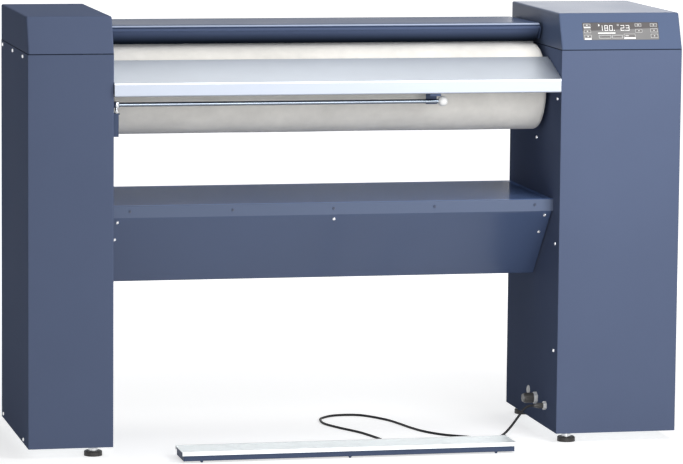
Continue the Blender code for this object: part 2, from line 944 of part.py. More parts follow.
def gear_outline(centre, teeth, turn):
    """The outline of an involute spur gear, with the middle of one tooth at angle turn."""
    pitch = gear_module * teeth / 2
    base = pitch * cos(pressure_angle)
    tip = pitch + gear_module * addendum_share
    root = pitch - gear_module * dedendum_share
    start = max(base, root)
    half = pi / (2 * teeth) - backlash / (2 * pitch) + tan(pressure_angle) - pressure_angle
    flank = []
    if root < base:
        flank.append((root, half))
    for index in range(flank_steps + 1):
        radius = start + (tip - start) * index / flank_steps
        rolled = acos(base / radius)
        flank.append((radius, half - (tan(rolled) - rolled)))
    outline = []
    for tooth in range(teeth):
        middle = turn + 2 * pi * tooth / teeth
        sides = [(radius, middle - lean) for radius, lean in flank]
        sides += [(radius, middle + lean) for radius, lean in reversed(flank)]
        for radius, angle in sides:
            outline.append((centre[0] + radius * cos(angle), centre[1] + radius * sin(angle)))
    return outline


def make_roller():
    axis = axis_empty("roller_axis", (gap_middle_x, roller_y, roller_z))
    turn = (0, pi / 2, 0)
    half = roller_length / 2
    inside = cloth_radius - cloth_wall
    curl = cloth_corner - cloth_wall
    corner = (half - cloth_corner, cloth_radius - cloth_corner)
    crown = ring_points(corner, cloth_corner, quarter_steps, 0, pi / 2)
    lining = ring_points(corner, curl, quarter_steps, pi / 2, -pi / 2)
    end = [(half, cloth_radius - cloth_tuck)] + crown
    back = lining + [(half - cloth_wall, cloth_radius - cloth_tuck)]
    outline = [(radius, height) for height, radius in end]
    outline += [(radius, -height) for height, radius in reversed(end)]
    outline += [(radius, -height) for height, radius in reversed(back)]
    outline += [(radius, height) for height, radius in back]
    place(turned("roller_cloth", outline, axis.location, turn, roller_sides), cream_cloth, axis)
    end_at = half - cloth_wall - seat
    outer = inside - seat
    inner = outer - padding_wall
    chamfer = curl
    profile = [
        (inner, end_at),
        (outer - chamfer, end_at),
        (outer, end_at - chamfer),
        (outer, chamfer - end_at),
        (outer - chamfer, -end_at),
        (inner, -end_at),
    ]
    place(turned("roller_padding", profile, axis.location, turn, roller_sides), felt_padding, axis)
    tube = inner - seat
    bore = tube - tube_wall
    profile = [(bore, end_at), (tube, end_at), (tube, -end_at), (bore, -end_at)]
    place(turned("roller_tube", profile, axis.location, turn, roller_sides), raw_steel, axis)
    for side, name in ((-1, "roller_end_left"), (1, "roller_end_right")):
        tip = gear_end + shaft_tip if side > 0 else bearing_back + shaft_tip
        face = -(roller_end_gap + cloth_wall + disc_recess)
        back_face = face - disc_thickness
        profile = [
            (0, tip),
            (shaft_radius - shaft_chamfer, tip),
            (shaft_radius, tip - shaft_chamfer),
            (shaft_radius, face),
            (bore - seat, face),
            (bore - seat, back_face),
            (disc_hub_radius, back_face),
            (disc_hub_radius, back_face - disc_hub_length),
            (0, back_face - disc_hub_length),
        ]
        end_piece = turned_in(name, profile, side, roller_y, roller_z, roller_sides)
        place(end_piece, raw_steel, axis)
    make_roller_gear(axis)


def make_roller_gear(axis):
    centre = (roller_y, roller_z)
    outline = gear_outline(centre, gear_teeth, -pi / 2)
    wheel = side_slab("roller_gear", [outline], deep(1, gear_start), deep(1, gear_end))
    web_edge = gear_radius - gear_module * dedendum_share - gear_rim
    recess = (gear_width - gear_web) / 2
    for low, high in ((gear_start - overrun, gear_start + recess), (gear_end - recess, gear_end + overrun)):
        profile = [
            (gear_hub_radius, low),
            (web_edge, low),
            (web_edge, high),
            (gear_hub_radius, high),
        ]
        cut(wheel, turned_in("recess", profile, 1, *centre))
    across = [deep(1, depth) for depth in (gear_start - overrun, gear_end + overrun)]
    bore = [(x, *centre) for x in across]
    cut(wheel, round_bar("bore", shaft_radius + seat, *bore, round_sides))
    hole_circle = (web_edge + gear_hub_radius) / 2
    hole_radius = (web_edge - gear_hub_radius) * gear_hole_share / 2
    for index in range(gear_hole_count):
        angle = 2 * pi * index / gear_hole_count
        y, z = centre[0] + hole_circle * cos(angle), centre[1] + hole_circle * sin(angle)
        cut(wheel, round_bar("web_hole", hole_radius, *[(x, y, z) for x in across], bolt_sides))
    place(wheel, raw_steel, axis)


def make_pinion():
    axis = axis_empty("pinion_axis", (deep(1, gear_start), pinion_y, pinion_z))
    centre = (pinion_y, pinion_z)
    outline = gear_outline(centre, pinion_teeth, pi / 2 + pi / pinion_teeth)
    wheel = side_slab("drive_pinion", [outline], deep(1, gear_start), deep(1, gear_end))
    shaft_ends = [(deep(1, depth), *centre) for depth in (plate_back + 2 * seat, gear_end + shaft_tip)]
    join(wheel, round_bar("pinion_shaft", pinion_shaft_radius, *shaft_ends))
    place(wheel, raw_steel, axis)


def make_gearmotor():
    start = plate_back + seat
    end = start + gearcase_depth
    motor_z = pinion_z - motor_drop
    case_outline = link_outline(
        (pinion_y, motor_z), motor_radius, (pinion_y, pinion_z), gearcase_nose_radius, case_steps
    )
    bore = ring_points((pinion_y, pinion_z), pinion_shaft_radius + seat, round_sides)
    case = side_slab("gearmotor", [case_outline, bore], deep(1, start), deep(1, end))
    far = end + motor_length
    body = motor_radius - motor_rib
    profile = [(0, far), (motor_radius - bend, far), (motor_radius, far - bend)]
    profile += [(motor_radius, far - motor_cover), (body, far - motor_cover)]
    pitch = (motor_length - motor_cover) / (motor_fin_count + 1)
    for index in range(motor_fin_count):
        depth = far - motor_cover - (index + 1) * pitch
        for offset, radius in ((half_fin, body), (half_fin, motor_radius)):
            profile.append((radius, depth + offset))
        for offset, radius in ((-half_fin, motor_radius), (-half_fin, body)):
            profile.append((radius, depth + offset))
    profile += [(body, end - overrun), (0, end - overrun)]
    join(case, turned_in("motor_can", profile, 1, pinion_y, motor_z, motor_sides))
    box_low = (deep(1, end + terminal_inset), pinion_y - terminal_width / 2, motor_z - terminal_drop)
    box_high = (
        deep(1, end + terminal_inset + terminal_length),
        pinion_y + terminal_width / 2,
        motor_z - motor_radius / 2,
    )
    join(case, block("terminal_box", box_low, box_high))
    place(case, cast_grey)


def trough_point(radius, angle):
    return (roller_y + radius * cos(angle), roller_z + radius * sin(angle))


def make_heated_trough(axis):
    inner = cloth_radius + trough_gap
    outer = inner + trough_wall
    middle = (inner + outer) / 2
    centre = (roller_y, roller_z)
    sweep = trough_top_angle - trough_bottom_angle
    tip = (trough_tip_share * trough_wall) / outer
    outline = ring_points(centre, inner, trough_steps, trough_bottom_angle, sweep)
    outline.append(trough_point(middle, trough_top_angle))
    outline += ring_points(centre, outer, tip_steps, trough_top_angle - tip, 2 * tip - sweep)
    outline.append(trough_point(middle, trough_bottom_angle))
    ends = cover_gap + sheet + seat
    start, end = left_inner_x + ends, right_inner_x - ends
    shell = side_slab("heated_trough", [outline], start, end)
    bore = stub_radius + seat
    heading = atan2(stub_z - roller_z, stub_y - roller_y)
    lug = ring_points(centre, middle, lug_steps, lug_bottom_angle, lug_top_angle - lug_bottom_angle)
    lug += ring_points((stub_y, stub_z), lug_radius, lug_end_steps, heading + pi / 2, -pi)
    hole = ring_points((stub_y, stub_z), bore, stub_sides)
    join(shell, side_slab("lug", [lug, hole], start, start + lug_thickness))
    join(shell, side_slab("lug", [lug, hole], end - lug_thickness, end))
    count = trough_rib_count
    for index in range(count):
        x = start + (end - start) * (index + 1) / (count + 1)
        rib = ring_points(centre, middle, rib_steps, rib_bottom_angle, rib_top_angle - rib_bottom_angle)
        rib += ring_points(
            centre, outer + rib_height, rib_steps, rib_top_angle - rib_taper,
            rib_bottom_angle - rib_top_angle + 2 * rib_taper,
        )
        join(shell, side_slab("rib", [rib], x - rib_wall / 2, x + rib_wall / 2))
    for name, angle in (("heater_rod_upper", rod_upper_angle), ("heater_rod_lower", rod_lower_angle)):
        y, z = trough_point(outer, angle)
        groove = ((start - overrun, y, z), (end + overrun, y, z))
        cut(shell, round_bar("rod_groove", rod_radius + seat, *groove, plain_sides))
        ends_at = ((start, y, z), (end, y, z))
        place(round_bar(name, rod_radius, *ends_at, small_sides), raw_steel, axis)
    place(shell, cast_aluminium, axis)


def make_trough_arm(side, name, axis):
    """A flat arm on its pivot pin, with the stub that carries the trough's end."""
    pivot, stub = (pivot_y, pivot_z), (stub_y, stub_z)
    outlines = [
        link_outline(pivot, arm_width / 2, stub, arm_width / 2),
        ring_points(pivot, arm_pin_radius + seat, stub_sides),
    ]
    if side < 0:
        outlines.append(ring_points(lift_point, lift_pin_radius + lift_pin_clearance, plain_sides))
    arm = side_slab(name, outlines, deep(side, arm_start), deep(side, arm_end))
    inward = -(cover_gap + sheet + seat + lug_thickness)
    ends = [(deep(side, depth), *stub) for depth in (arm_end - overrun, inward)]
    join(arm, round_bar("stub", stub_radius, *ends))
    place(arm, zinc_steel, axis)


def make_arm_pin(side, name):
    profile = [
        (0, arm_end + seat + arm_pin_head),
        (arm_pin_collar, arm_end + seat + arm_pin_head),
        (arm_pin_collar, arm_end + seat),
        (arm_pin_radius, arm_end + seat),
        (arm_pin_radius, arm_start - seat),
        (arm_pin_collar, arm_start - seat),
        (arm_pin_collar, plate_back + seat),
        (arm_pin_radius, plate_back + seat),
        (arm_pin_radius, plate_depth + seat),
        (0, plate_depth + seat),
    ]
    place(turned_in(name, profile, side, pivot_y, pivot_z, small_sides), raw_steel)


def make_trough_hood(axis):
    """The sheet cover over the trough: top, rear, front lip and two end cheeks."""
    lip = (guard_y - cover_lip_reach, guard_z + guard_bead + cover_lip_rise)
    top_front = (front_y + cover_front, lip[1] + cover_lip_drop)
    top_rear = (front_y + cover_rear, top_front[1] - cover_fall)
    outline = [
        lip,
        top_front,
        top_rear,
        (top_rear[0], cover_bottom),
        (roller_y + cheek_rear, cover_bottom),
        (guard_y - hinge_margin, guard_z - hinge_margin / 2),
    ]
    start, end = left_inner_x + cover_gap, right_inner_x - cover_gap
    shape = bmesh.new()
    cheek = shape.faces.new([shape.verts.new((start, y, z)) for y, z in outline])
    drawn = bmesh.ops.extrude_face_region(shape, geom=[cheek])["geom"]
    moved = [item for item in drawn if isinstance(item, bmesh.types.BMVert)]
    bmesh.ops.translate(shape, vec=(end - start, 0, 0), verts=moved)
    bmesh.ops.recalc_face_normals(shape, faces=shape.faces)
    open_faces = []
    for first, second in ((3, 4), (4, 5), (5, 0)):
        a, b = outline[first], outline[second]
        middle = Vector(((start + end) / 2, (a[0] + b[0]) / 2, (a[1] + b[1]) / 2))
        near = min(shape.faces, key=lambda face: (face.calc_center_median() - middle).length)
        open_faces.append(near)
    bmesh.ops.delete(shape, geom=open_faces, context="FACES_ONLY")
    cover = from_bmesh("trough_hood", shape)
    soften(cover, bend, 2)
    thicken(cover, sheet, -1)
    across = (start - overrun, end + overrun)
    clear = [(x, roller_y, roller_z) for x in across]
    cut(cover, round_bar("roller_clearance", cloth_radius + cheek_reach, *clear, clearance_sides))
    cut(cover, round_bar("stub_hole", stub_radius + seat, *[(x, stub_y, stub_z) for x in across]))
    pin_line = [(x, guard_y, guard_z) for x in across]
    cut(cover, round_bar("pin_hole", guard_pin + seat, *pin_line, small_sides))
    place(cover, dark_paint, axis)


def make_finger_guard():
    axis = axis_empty("guard_hinge", (gap_middle_x, guard_y, guard_z))
    edge = (front_y + guard_edge_set_back, guard_edge_height)
    heading = atan2(edge[1] - guard_z, edge[0] - guard_y)
    spread = asin(guard_wall / 2 / guard_bead)
    outline = ring_points((guard_y, guard_z), guard_bead, bead_steps, heading + spread, 2 * (pi - spread))
    off = (-sin(heading) * guard_wall / 2, cos(heading) * guard_wall / 2)
    outline.append((edge[0] - off[0], edge[1] - off[1]))
    outline.append((edge[0] + off[0], edge[1] + off[1]))
    inset = cover_gap + sheet + guard_side_gap
    guard = side_slab("finger_guard", [outline], left_inner_x + inset, right_inner_x - inset)
    pins = (left_inner_x + cover_gap, right_inner_x - cover_gap)
    join(guard, round_bar("hinge_pins", guard_pin, *[(x, guard_y, guard_z) for x in pins], small_sides))
    place(guard, slate_paint, axis)


def make_lift_drive():
    axis = axis_empty("lift_slide", (deep(-1, lift_depth), *lift_point))
    y, z = lift_point
    eye_start = arm_end + lift_eye_gap
    eye_end = eye_start + lift_eye_width
    half_eye = lift_eye_height / 2
    eye_outline = link_outline((y, z), half_eye, (y - lift_eye_height, z), lift_rod_radius)
    rod_piece = side_slab("lift_rod", [eye_outline], deep(-1, eye_start), deep(-1, eye_end))
    pin = [(deep(-1, depth), y, z) for depth in (arm_start + seat, eye_end - overrun)]
    join(rod_piece, round_bar("rod_pin", lift_pin_radius, *pin, plain_sides))
    case_rear = front_y + lift_case_front + lift_case_length
    rod_x = deep(-1, lift_depth)
    shank_ends = ((rod_x, case_rear - lift_rod_in_case, z), (rod_x, y - half_eye, z))
    join(rod_piece, round_bar("rod_shank", lift_rod_radius, *shank_ends, plain_sides))
    place(rod_piece, zinc_steel, axis)
    near, far = sorted((deep(-1, plate_back + seat), deep(-1, plate_back + seat + lift_case_width)))
    case_front = front_y + lift_case_front
    low = (near, case_front, z - lift_case_height / 2)
    high = (far, case_rear, z + lift_case_height / 2)
    case = block("lift_motor", low, high, bend)
    motor_x = (near + far) / 2
    motor_y = case_front + lift_motor_radius + bend
    motor_low = z - lift_case_height / 2 - lift_motor_length
    can_ends = ((motor_x, motor_y, z), (motor_x, motor_y, motor_low))
    join(case, round_bar("lift_can", lift_motor_radius, *can_ends))
    bore_ends = (
        (deep(-1, lift_depth), case_rear - lift_rod_in_case - lift_bore_spare, z),
        (deep(-1, lift_depth), case_rear + overrun, z),
    )
    cut(case, round_bar("rod_bore", lift_rod_radius + seat, *bore_ends, plain_sides))
    place(case, cast_grey)


def make_feed_table():
    half = table_wall / 2
    lip_y = front_y - table_lip_reach
    path = [
        (lip_y - table_lip_lean + table_return, table_lip_top - table_lip_height + half),
        (lip_y - table_lip_lean + half, table_lip_top - table_lip_height + half),
        (lip_y + half, table_lip_top - half),
        (front_y + table_rear_set_back, table_rear_height - half),
        (front_y + table_rear_set_back - table_hem_run, table_rear_height - half - table_hem_drop),
    ]
    start, end = left_inner_x + seat, right_inner_x - table_right_gap
    table = side_fold("feed_table", path, start, end, table_wall, table_bend, 2)
    front, rear = path[2], path[3]

    def under(share, drop):
        y = front[0] + (rear[0] - front[0]) * share
        return (y, front[1] + (rear[1] - front[1]) * share - drop)

    cheek = [
        under(cheek_front_share, 0),
        under(cheek_rear_share, 0),
        under(cheek_rear_share, table_cheek_drop * cheek_rear_drop_share),
        under(cheek_front_share, table_cheek_drop * cheek_front_drop_share),
    ]
    join(table, side_slab("left_cheek", [cheek], start, start + table_wall))
    join(table, side_slab("right_cheek", [cheek], end - table_wall, right_inner_x - seat))
    place(table, bright_sheet)


def make_rail():
    """The laundry rail, which swings out to the front about its upright pin."""
    axis = axis_empty("rail_axis", (rail_pivot_x, rail_y, rail_z))
    ear_top = rail_z - rail_ear_drop
    collar_low = ear_top + seat
    collar_top = collar_low + rail_collar_height
    pin_low = ear_top - rail_pin_length
    profile = [
        (0, rail_z + rail_block_height / 2),
        (rail_block_radius - rail_block_chamfer, rail_z + rail_block_height / 2),
        (rail_block_radius, rail_z + rail_block_height / 2 - rail_block_chamfer),
        (rail_block_radius, rail_z - rail_block_height / 2),
        (rail_pin_radius, rail_z - rail_block_height / 2),
        (rail_pin_radius, collar_top),
        (rail_collar_radius, collar_top),
        (rail_collar_radius, collar_low),
        (rail_pin_radius, collar_low),
        (rail_pin_radius, pin_low),
        (0, pin_low),
    ]
    knuckle = turned("rail_knuckle", profile, (rail_pivot_x, rail_y, 0), ON_FLOOR, plain_sides)
    bore_start = rail_pivot_x - rail_block_radius / 2
    socket = ((bore_start, rail_y, rail_z), (rail_pivot_x + rail_block_radius + overrun, rail_y, rail_z))
    cut(knuckle, round_bar("rail_socket", rail_radius + seat, *socket, plain_sides))
    place(knuckle, white_plastic, axis)
    bore_end = ball_x - rail_ball_radius + rail_ball_bore
    rail_points = ((bore_start + seat, rail_y, rail_z), (bore_end - seat, rail_y, rail_z))
    place(rod("laundry_rail", rail_points, rail_radius, 2), zinc_steel, axis)
    shape = bmesh.new()
    bmesh.ops.create_uvsphere(
        shape, u_segments=plain_sides, v_segments=plain_sides // 2, radius=rail_ball_radius,
    )
    ball = from_bmesh("rail_ball", shape, (ball_x, rail_y, rail_z))
    bore = ((ball_x - rail_ball_radius - overrun, rail_y, rail_z), (bore_end, rail_y, rail_z))
    cut(ball, round_bar("ball_bore", rail_radius + seat, *bore, plain_sides))
    place(ball, white_plastic, axis)
    make_rail_bracket(ear_top)


def make_rail_bracket(ear_top):
    start = left_inner_x + seat
    leg_x = start + rail_bracket_wall / 2
    leg_y = rail_y - rail_bracket_front
    path = [
        (leg_x, leg_y + rail_bracket_depth),
        (leg_x, leg_y),
        (start + rail_bracket_width, leg_y),
    ]
    bracket = upright_fold(
        "rail_bracket", path, ear_top - rail_bracket_height, ear_top - rail_bracket_wall / 2,
        rail_bracket_wall, rail_bracket_wall,
    )
    low = (start, leg_y - rail_bracket_wall / 2)
    high = (start + rail_ear_reach, leg_y + rail_bracket_depth)
    ear = [
        rounded_outline(low, high, rail_bracket_wall),
        ring_points((rail_pivot_x, rail_y), rail_pin_radius + seat, plain_sides),
    ]
    join(bracket, floor_slab("ear", ear, ear_top - rail_bracket_wall, ear_top))
    place(bracket, dark_paint)


def make_rail_clip():
    half = clip_wall / 2
    top = table_lip_top - table_lip_height - seat - half
    front = front_y - table_lip_reach + clip_front_inset
    back = rail_y + rail_radius + clip_play + half
    bottom = rail_z - rail_radius - clip_play - half
    path = [
        (front, top - clip_lip),
        (front, top),
        (back, top),
        (back, bottom),
        (back - clip_hook, bottom),
    ]
    end = ball_x - rail_ball_radius - clip_play
    place(side_fold("rail_clip", path, end - clip_width, end, clip_wall, clip_wall), dark_paint)


def make_shelf():
    front = front_y + shelf_front_set_back + half_sheet
    rear = rear_y - shelf_rear_gap - half_sheet
    top = shelf_height - half_sheet
    bottom = shelf_height - shelf_flange
    path = [(rear, bottom), (rear, top), (front, top), (front, bottom)]
    ends = (left_inner_x + seat, right_inner_x - seat)
    shelf = side_fold("shelf_top", path, *ends, sheet, bend, quarter_steps)
    place(shelf, slate_paint)
    tongue = front + sheet + seat
    low = bottom - apron_gap
    foot = (front_y + apron_foot_set_back, apron_foot_height + half_sheet)
    path = [
        (tongue, low + apron_tongue),
        (tongue, low),
        foot,
        (foot[0] + apron_return, foot[1]),
    ]
    ends = (left_inner_x + apron_end_gap, right_inner_x - apron_end_gap)
    place(side_fold("shelf_apron", path, *ends, sheet, bend, 2), slate_paint)
    under = shelf_height - sheet - seat - bracket_wall / 2
    for side, name in ((1, "shelf_bracket_left"), (-1, "shelf_bracket_right")):
        face = left_inner_x if side > 0 else right_inner_x
        leg_x = face + side * (seat + bracket_wall / 2)
        path = [(leg_x, under - bracket_leg), (leg_x, under), (leg_x + side * bracket_leg, under)]
        low_y, high_y = front + bracket_front_gap, rear - bracket_rear_gap
        middle = (0, (low_y + high_y) / 2, 0)
        angle = folded(name, path, high_y - low_y, middle, ON_FRONT, bracket_wall, bracket_wall)
        place(angle, zinc_steel)


def make_rear_crossbeam():
    y = front_y + beam_set_back
    z = shelf_height - beam_drop
    low = (y - beam_depth / 2, z - beam_width / 2)
    high = (y + beam_depth / 2, z + beam_width / 2)
    inner_low = (low[0] + beam_wall, low[1] + beam_wall)
    inner_high = (high[0] - beam_wall, high[1] - beam_wall)
    outlines = [
        rounded_outline(low, high, bend, quarter_steps),
        rounded_outline(inner_low, inner_high, bend - beam_wall, 2),
    ]
    ends = (left_inner_x + seat, right_inner_x - seat)
    place(side_slab("rear_crossbeam", outlines, *ends), slate_paint)


def make_gland(name, set_back, z, nut_radius, body_radius, length, material):
    """A cable gland on the right inner panel: hexagon nut, body, and spigot in its hole."""
    y = front_y + set_back
    spigot = nut_radius * gland_spigot_share
    profile = [
        (0, gland_spigot),
        (spigot, gland_spigot),
        (spigot, -seat - overrun),
        (body_radius, -seat - overrun),
        (body_radius, -length + gland_chamfer),
        (body_radius - gland_chamfer, -length),
        (0, -length),
    ]
    body = turned_in(name, profile, 1, y, z, plain_sides)
    nut = [(deep(1, depth), y, z) for depth in (-seat, -seat - gland_nut)]
    join(body, round_bar("nut", nut_radius, *nut, nut_sides))
    place(body, material)
    hole = [(deep(1, depth), y, z) for depth in (-overrun, sheet + overrun)]
    return round_bar("gland_hole", spigot + seat, *hole)


def make_glands():
    panel = bpy.data.objects["right_inner_panel"]
    small = make_gland(
        "cable_gland_small", small_gland_set_back, small_gland_height,
        small_nut_radius, small_body_radius, small_gland_length, black_plastic,
    )
    large = make_gland(
        "cable_gland_large", large_gland_set_back, large_gland_height,
        large_nut_radius, large_body_radius, large_gland_length, black_plastic,
    )
    cut(panel, small, large)
    y = front_y + plug_set_back
    spigot = plug_radius * gland_spigot_share
    profile = [(0, gland_spigot), (spigot, gland_spigot), (spigot, -seat), (plug_radius, -seat)]
    dome = ring_points((0, 0), 1, corner_steps, 0, pi / 2)
    profile += [(plug_radius * across, -seat - plug_rim - plug_dome * up) for across, up in dome]
    profile[-1] = (0, profile[-1][1])
    place(turned_in("blanking_plug", profile, 1, y, plug_height, plain_sides), black_plastic)
    hole = [(deep(1, depth), y, plug_height) for depth in (-overrun, sheet + overrun)]
    cut(panel, round_bar("plug_hole", spigot + seat, *hole))


def treadle_outline(front, rear):
    """The ribbed top of the foot bar, seen from its end, with a lip down at each edge."""
    wall = bar_top_wall
    under = bar_height - bar_rib_height - wall
    outline = [(front, bar_lip_bottom), (front, bar_height)]
    ribbed = rear - front - 2 * bar_rib_margin
    pitch = ribbed / bar_rib_count
    low = bar_height - bar_rib_height
    for index in range(bar_rib_count):
        start = front + bar_rib_margin + index * pitch
        outline += [(start, bar_height), (start, low)]
        outline += [(start + pitch / 2, low), (start + pitch / 2, bar_height)]
    outline += [(rear, bar_height), (rear, bar_lip_bottom)]
    outline += [(rear - wall, bar_lip_bottom), (rear - wall, under)]
    outline += [(front + wall, under), (front + wall, bar_lip_bottom)]
    return outline


def make_foot_bar():
    start = left_x + bar_left_inset
    end = start + bar_length
    front = front_y - bar_reach
    rear = front + bar_depth
    under = bar_height - bar_rib_height - bar_top_wall
    half = bar_wall / 2
    front_wall = front + bar_base_inset + half
    rear_wall = rear - bar_base_rear_inset - half
    floor = bar_base_bottom + half
    plates = (start + bar_overhang, end - bar_overhang - bar_end_wall)
    inner_ends = (plates[0] + bar_end_wall + seat, plates[1] - seat)
    path = [
        (front_wall, bar_front_wall_top),
        (front_wall, floor),
        (rear_wall, floor),
        (rear_wall, under - seat),
    ]
    base = side_fold("footbar_base", path, *inner_ends, bar_wall, half)
    for index in range(bar_pad_count):
        x = start + bar_pad_inset + (bar_length - 2 * bar_pad_inset) * index / (bar_pad_count - 1)
        for y in (front + bar_pad_edge, rear - bar_pad_edge):
            pad = [(0, floor), (bar_pad_radius, floor), (bar_pad_tip, 0), (0, 0)]
            join(base, turned("pad", pad, (x, y, 0), ON_FLOOR, bolt_sides))
    place(base, dark_paint)
    outline = [
        (front_wall - half, bar_base_bottom),
        (rear_wall + half, bar_base_bottom),
        (rear_wall + half, under - seat),
        (front_wall - half, bar_front_wall_top),
    ]
    for name, x_from in zip(("footbar_end_left", "footbar_end_right"), plates):
        place(side_slab(name, [outline], x_from, x_from + bar_end_wall), dark_paint)
    axis = axis_empty("treadle_hinge", ((start + end) / 2, rear_wall, under))
    top = side_slab("footbar_treadle", [treadle_outline(front, rear)], start, end)
    place(top, bright_sheet, axis)
    middle_x, middle_y_bar = start + bar_gland_along * bar_length, (front + rear) / 2
    low_z = bar_base_bottom + bar_wall + seat
    switch = block(
        "footbar_switch",
        (middle_x - switch_width / 2, middle_y_bar - switch_depth / 2, low_z),
        (middle_x + switch_width / 2, middle_y_bar + switch_depth / 2, low_z + switch_height),
    )
    button_top = low_z + switch_height + switch_button
    button = ((middle_x, middle_y_bar, low_z), (middle_x, middle_y_bar, button_top))
    join(switch, round_bar("button", switch_button, *button, plain_sides))
    place(switch, black_plastic)
    gland_y = rear_wall + half + seat
    profile = [
        (0, 0),
        (bar_gland_radius, 0),
        (bar_gland_radius, bar_gland_length * bar_gland_collar_share),
        (bar_gland_tip, bar_gland_length * bar_gland_collar_share + seat),
        (cord_radius + bar_gland_skin, bar_gland_length),
        (0, bar_gland_length),
    ]
    gland = turned(
        "footbar_gland", profile, (cord_route[-1][0], gland_y, bar_gland_height),
        (-pi / 2, 0, 0), plain_sides,
    )
    place(gland, black_plastic)


def smooth_route(points, step):
    """Points along a smooth curve through the route, about one step apart."""
    knots = [Vector(point) for point in points]
    first = knots[0] * 2 - knots[1]
    last = knots[-1] * 2 - knots[-2]
    padded = [first] + knots + [last]
    fine = []
    for before, here, after, beyond in zip(padded, padded[1:], padded[2:], padded[3:]):
        for index in range(route_splits):
            share = index / route_splits
            fine.append(catmull(before, here, after, beyond, share))
    fine.append(knots[-1])
    spans = [(b - a).length for a, b in zip(fine, fine[1:])]
    whole = sum(spans)
    count = ceil(whole / step)
    wanted = [whole * index / count for index in range(1, count)]
    route, run, index = [fine[0]], 0, 0
    for distance in wanted:
        while run + spans[index] < distance:
            run += spans[index]
            index += 1
        share = (distance - run) / spans[index]
        route.append(fine[index].lerp(fine[index + 1], share))
    route.append(fine[-1])
    return route, whole


def catmull(before, here, after, beyond, share):
    """A point of the smooth curve between two of its route points."""
    pull_here = (after - before) / 2
    pull_after = (beyond - here) / 2
    square, cube = share ** 2, share ** 3
    return (
        here * (2 * cube - 3 * square + 1)
        + pull_here * (cube - 2 * square + share)
        + after * (3 * square - 2 * cube)
        + pull_after * (cube - square)
    )


def make_cord():
    route, length = smooth_route(cord_route, cord_step)
    straight = 2 * cord_radius
    route.insert(1, route[0] + Vector((-straight, 0, 0)))
    route.insert(-1, route[-1] + Vector((0, straight, 0)))
    print(f"foot bar cord: {length:.3f} m long, {len(route)} points")
    place(rod("footbar_cord", route, cord_radius, 2), cord_sheath)


def make_trough_group():
    axis = axis_empty("trough_pivot", (gap_middle_x, pivot_y, pivot_z))
    make_heated_trough(axis)
    make_trough_hood(axis)
    make_trough_arm(-1, "trough_arm_left", axis)
    make_trough_arm(1, "trough_arm_right", axis)
    make_arm_pin(-1, "arm_pin_left")
    make_arm_pin(1, "arm_pin_right")


make_left_casing()
make_right_casing()
make_hoods()
make_control_panel()
make_base_frame(-1, "left_base_frame", left_foot_inset)
make_base_frame(1, "right_base_frame", right_foot_inset)
make_feet()
make_frame_plate(-1, "left_frame_plate")
make_frame_plate(1, "right_frame_plate")
make_bearing(-1, "bearing_left")
make_bearing(1, "bearing_right")
make_roller()
make_pinion()
make_gearmotor()
make_trough_group()
make_finger_guard()
make_lift_drive()
make_feed_table()
make_rail()
make_rail_clip()
make_shelf()
make_rear_crossbeam()
make_glands()
make_foot_bar()
make_cord()
bpy.context.view_layer.update()
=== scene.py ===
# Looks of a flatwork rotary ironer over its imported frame: the finish of every surface,
# the roller's cloth and padding, the foot bar's cord, the screws, the glands and the
# print of the control panel. Metres, in the frame's axes: +X right, +Y rear, +Z up.

from math import atan2, cos, pi, radians, sin
import bmesh
import bpy
from mathutils import Matrix, Vector, noise


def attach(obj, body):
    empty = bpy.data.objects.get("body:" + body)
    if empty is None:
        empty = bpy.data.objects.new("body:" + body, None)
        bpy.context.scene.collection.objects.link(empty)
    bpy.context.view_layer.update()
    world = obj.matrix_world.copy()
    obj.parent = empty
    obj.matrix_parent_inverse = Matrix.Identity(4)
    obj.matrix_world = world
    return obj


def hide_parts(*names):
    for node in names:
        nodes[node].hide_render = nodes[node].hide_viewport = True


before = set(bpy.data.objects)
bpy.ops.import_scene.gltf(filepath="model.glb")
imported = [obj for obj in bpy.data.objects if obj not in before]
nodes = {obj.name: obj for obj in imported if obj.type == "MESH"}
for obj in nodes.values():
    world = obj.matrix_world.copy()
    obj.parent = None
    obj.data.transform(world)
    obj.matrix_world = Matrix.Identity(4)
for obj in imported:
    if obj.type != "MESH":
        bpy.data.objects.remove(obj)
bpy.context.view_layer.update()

scene = bpy.context.scene

# The camera, as solved from the photograph
camera_place = Vector((-2.02665, -9.10059, 1.66206))
camera_azimuth = radians(12.535071)
camera_elevation = radians(7.145759)
camera_roll = radians(0.524143)
camera_lens = 208.512
camera_sensor = 36
camera_reach = 60

# The cord's route, exit first, as the frame's solid has it
cord_radius = 0.003
cord_route = [
    (0.4527, -0.0838, 0.0766),
    (0.4420, -0.0838, 0.0766),
    (0.4290, -0.0840, 0.0690),
    (0.4140, -0.0850, 0.0500),
    (0.3950, -0.0870, 0.0262),
    (0.3760, -0.0895, 0.0090),
    (0.3560, -0.0915, 0.0034),
    (0.3230, -0.0880, 0.0033),
    (0.2819, -0.0610, 0.0033),
    (0.2400, -0.0262, 0.0033),
    (0.2080, 0.0230, 0.0033),
    (0.1887, 0.0793, 0.0033),
    (0.1740, 0.1400, 0.0033),
    (0.1545, 0.1994, 0.0033),
    (0.1073, 0.2684, 0.0033),
    (0.0459, 0.2757, 0.0033),
    (0.0061, 0.2430, 0.0033),
    (-0.0050, 0.2080, 0.0033),
    (-0.0041, 0.1613, 0.0033),
    (0.0198, 0.1006, 0.0033),
    (0.0539, 0.0318, 0.0033),
    (0.0770, -0.0453, 0.0033),
    (0.0880, -0.1000, 0.0036),
    (0.0920, -0.1350, 0.0080),
    (0.0925, -0.1500, 0.0100),
    (0.0925, -0.1649, 0.0100),
]

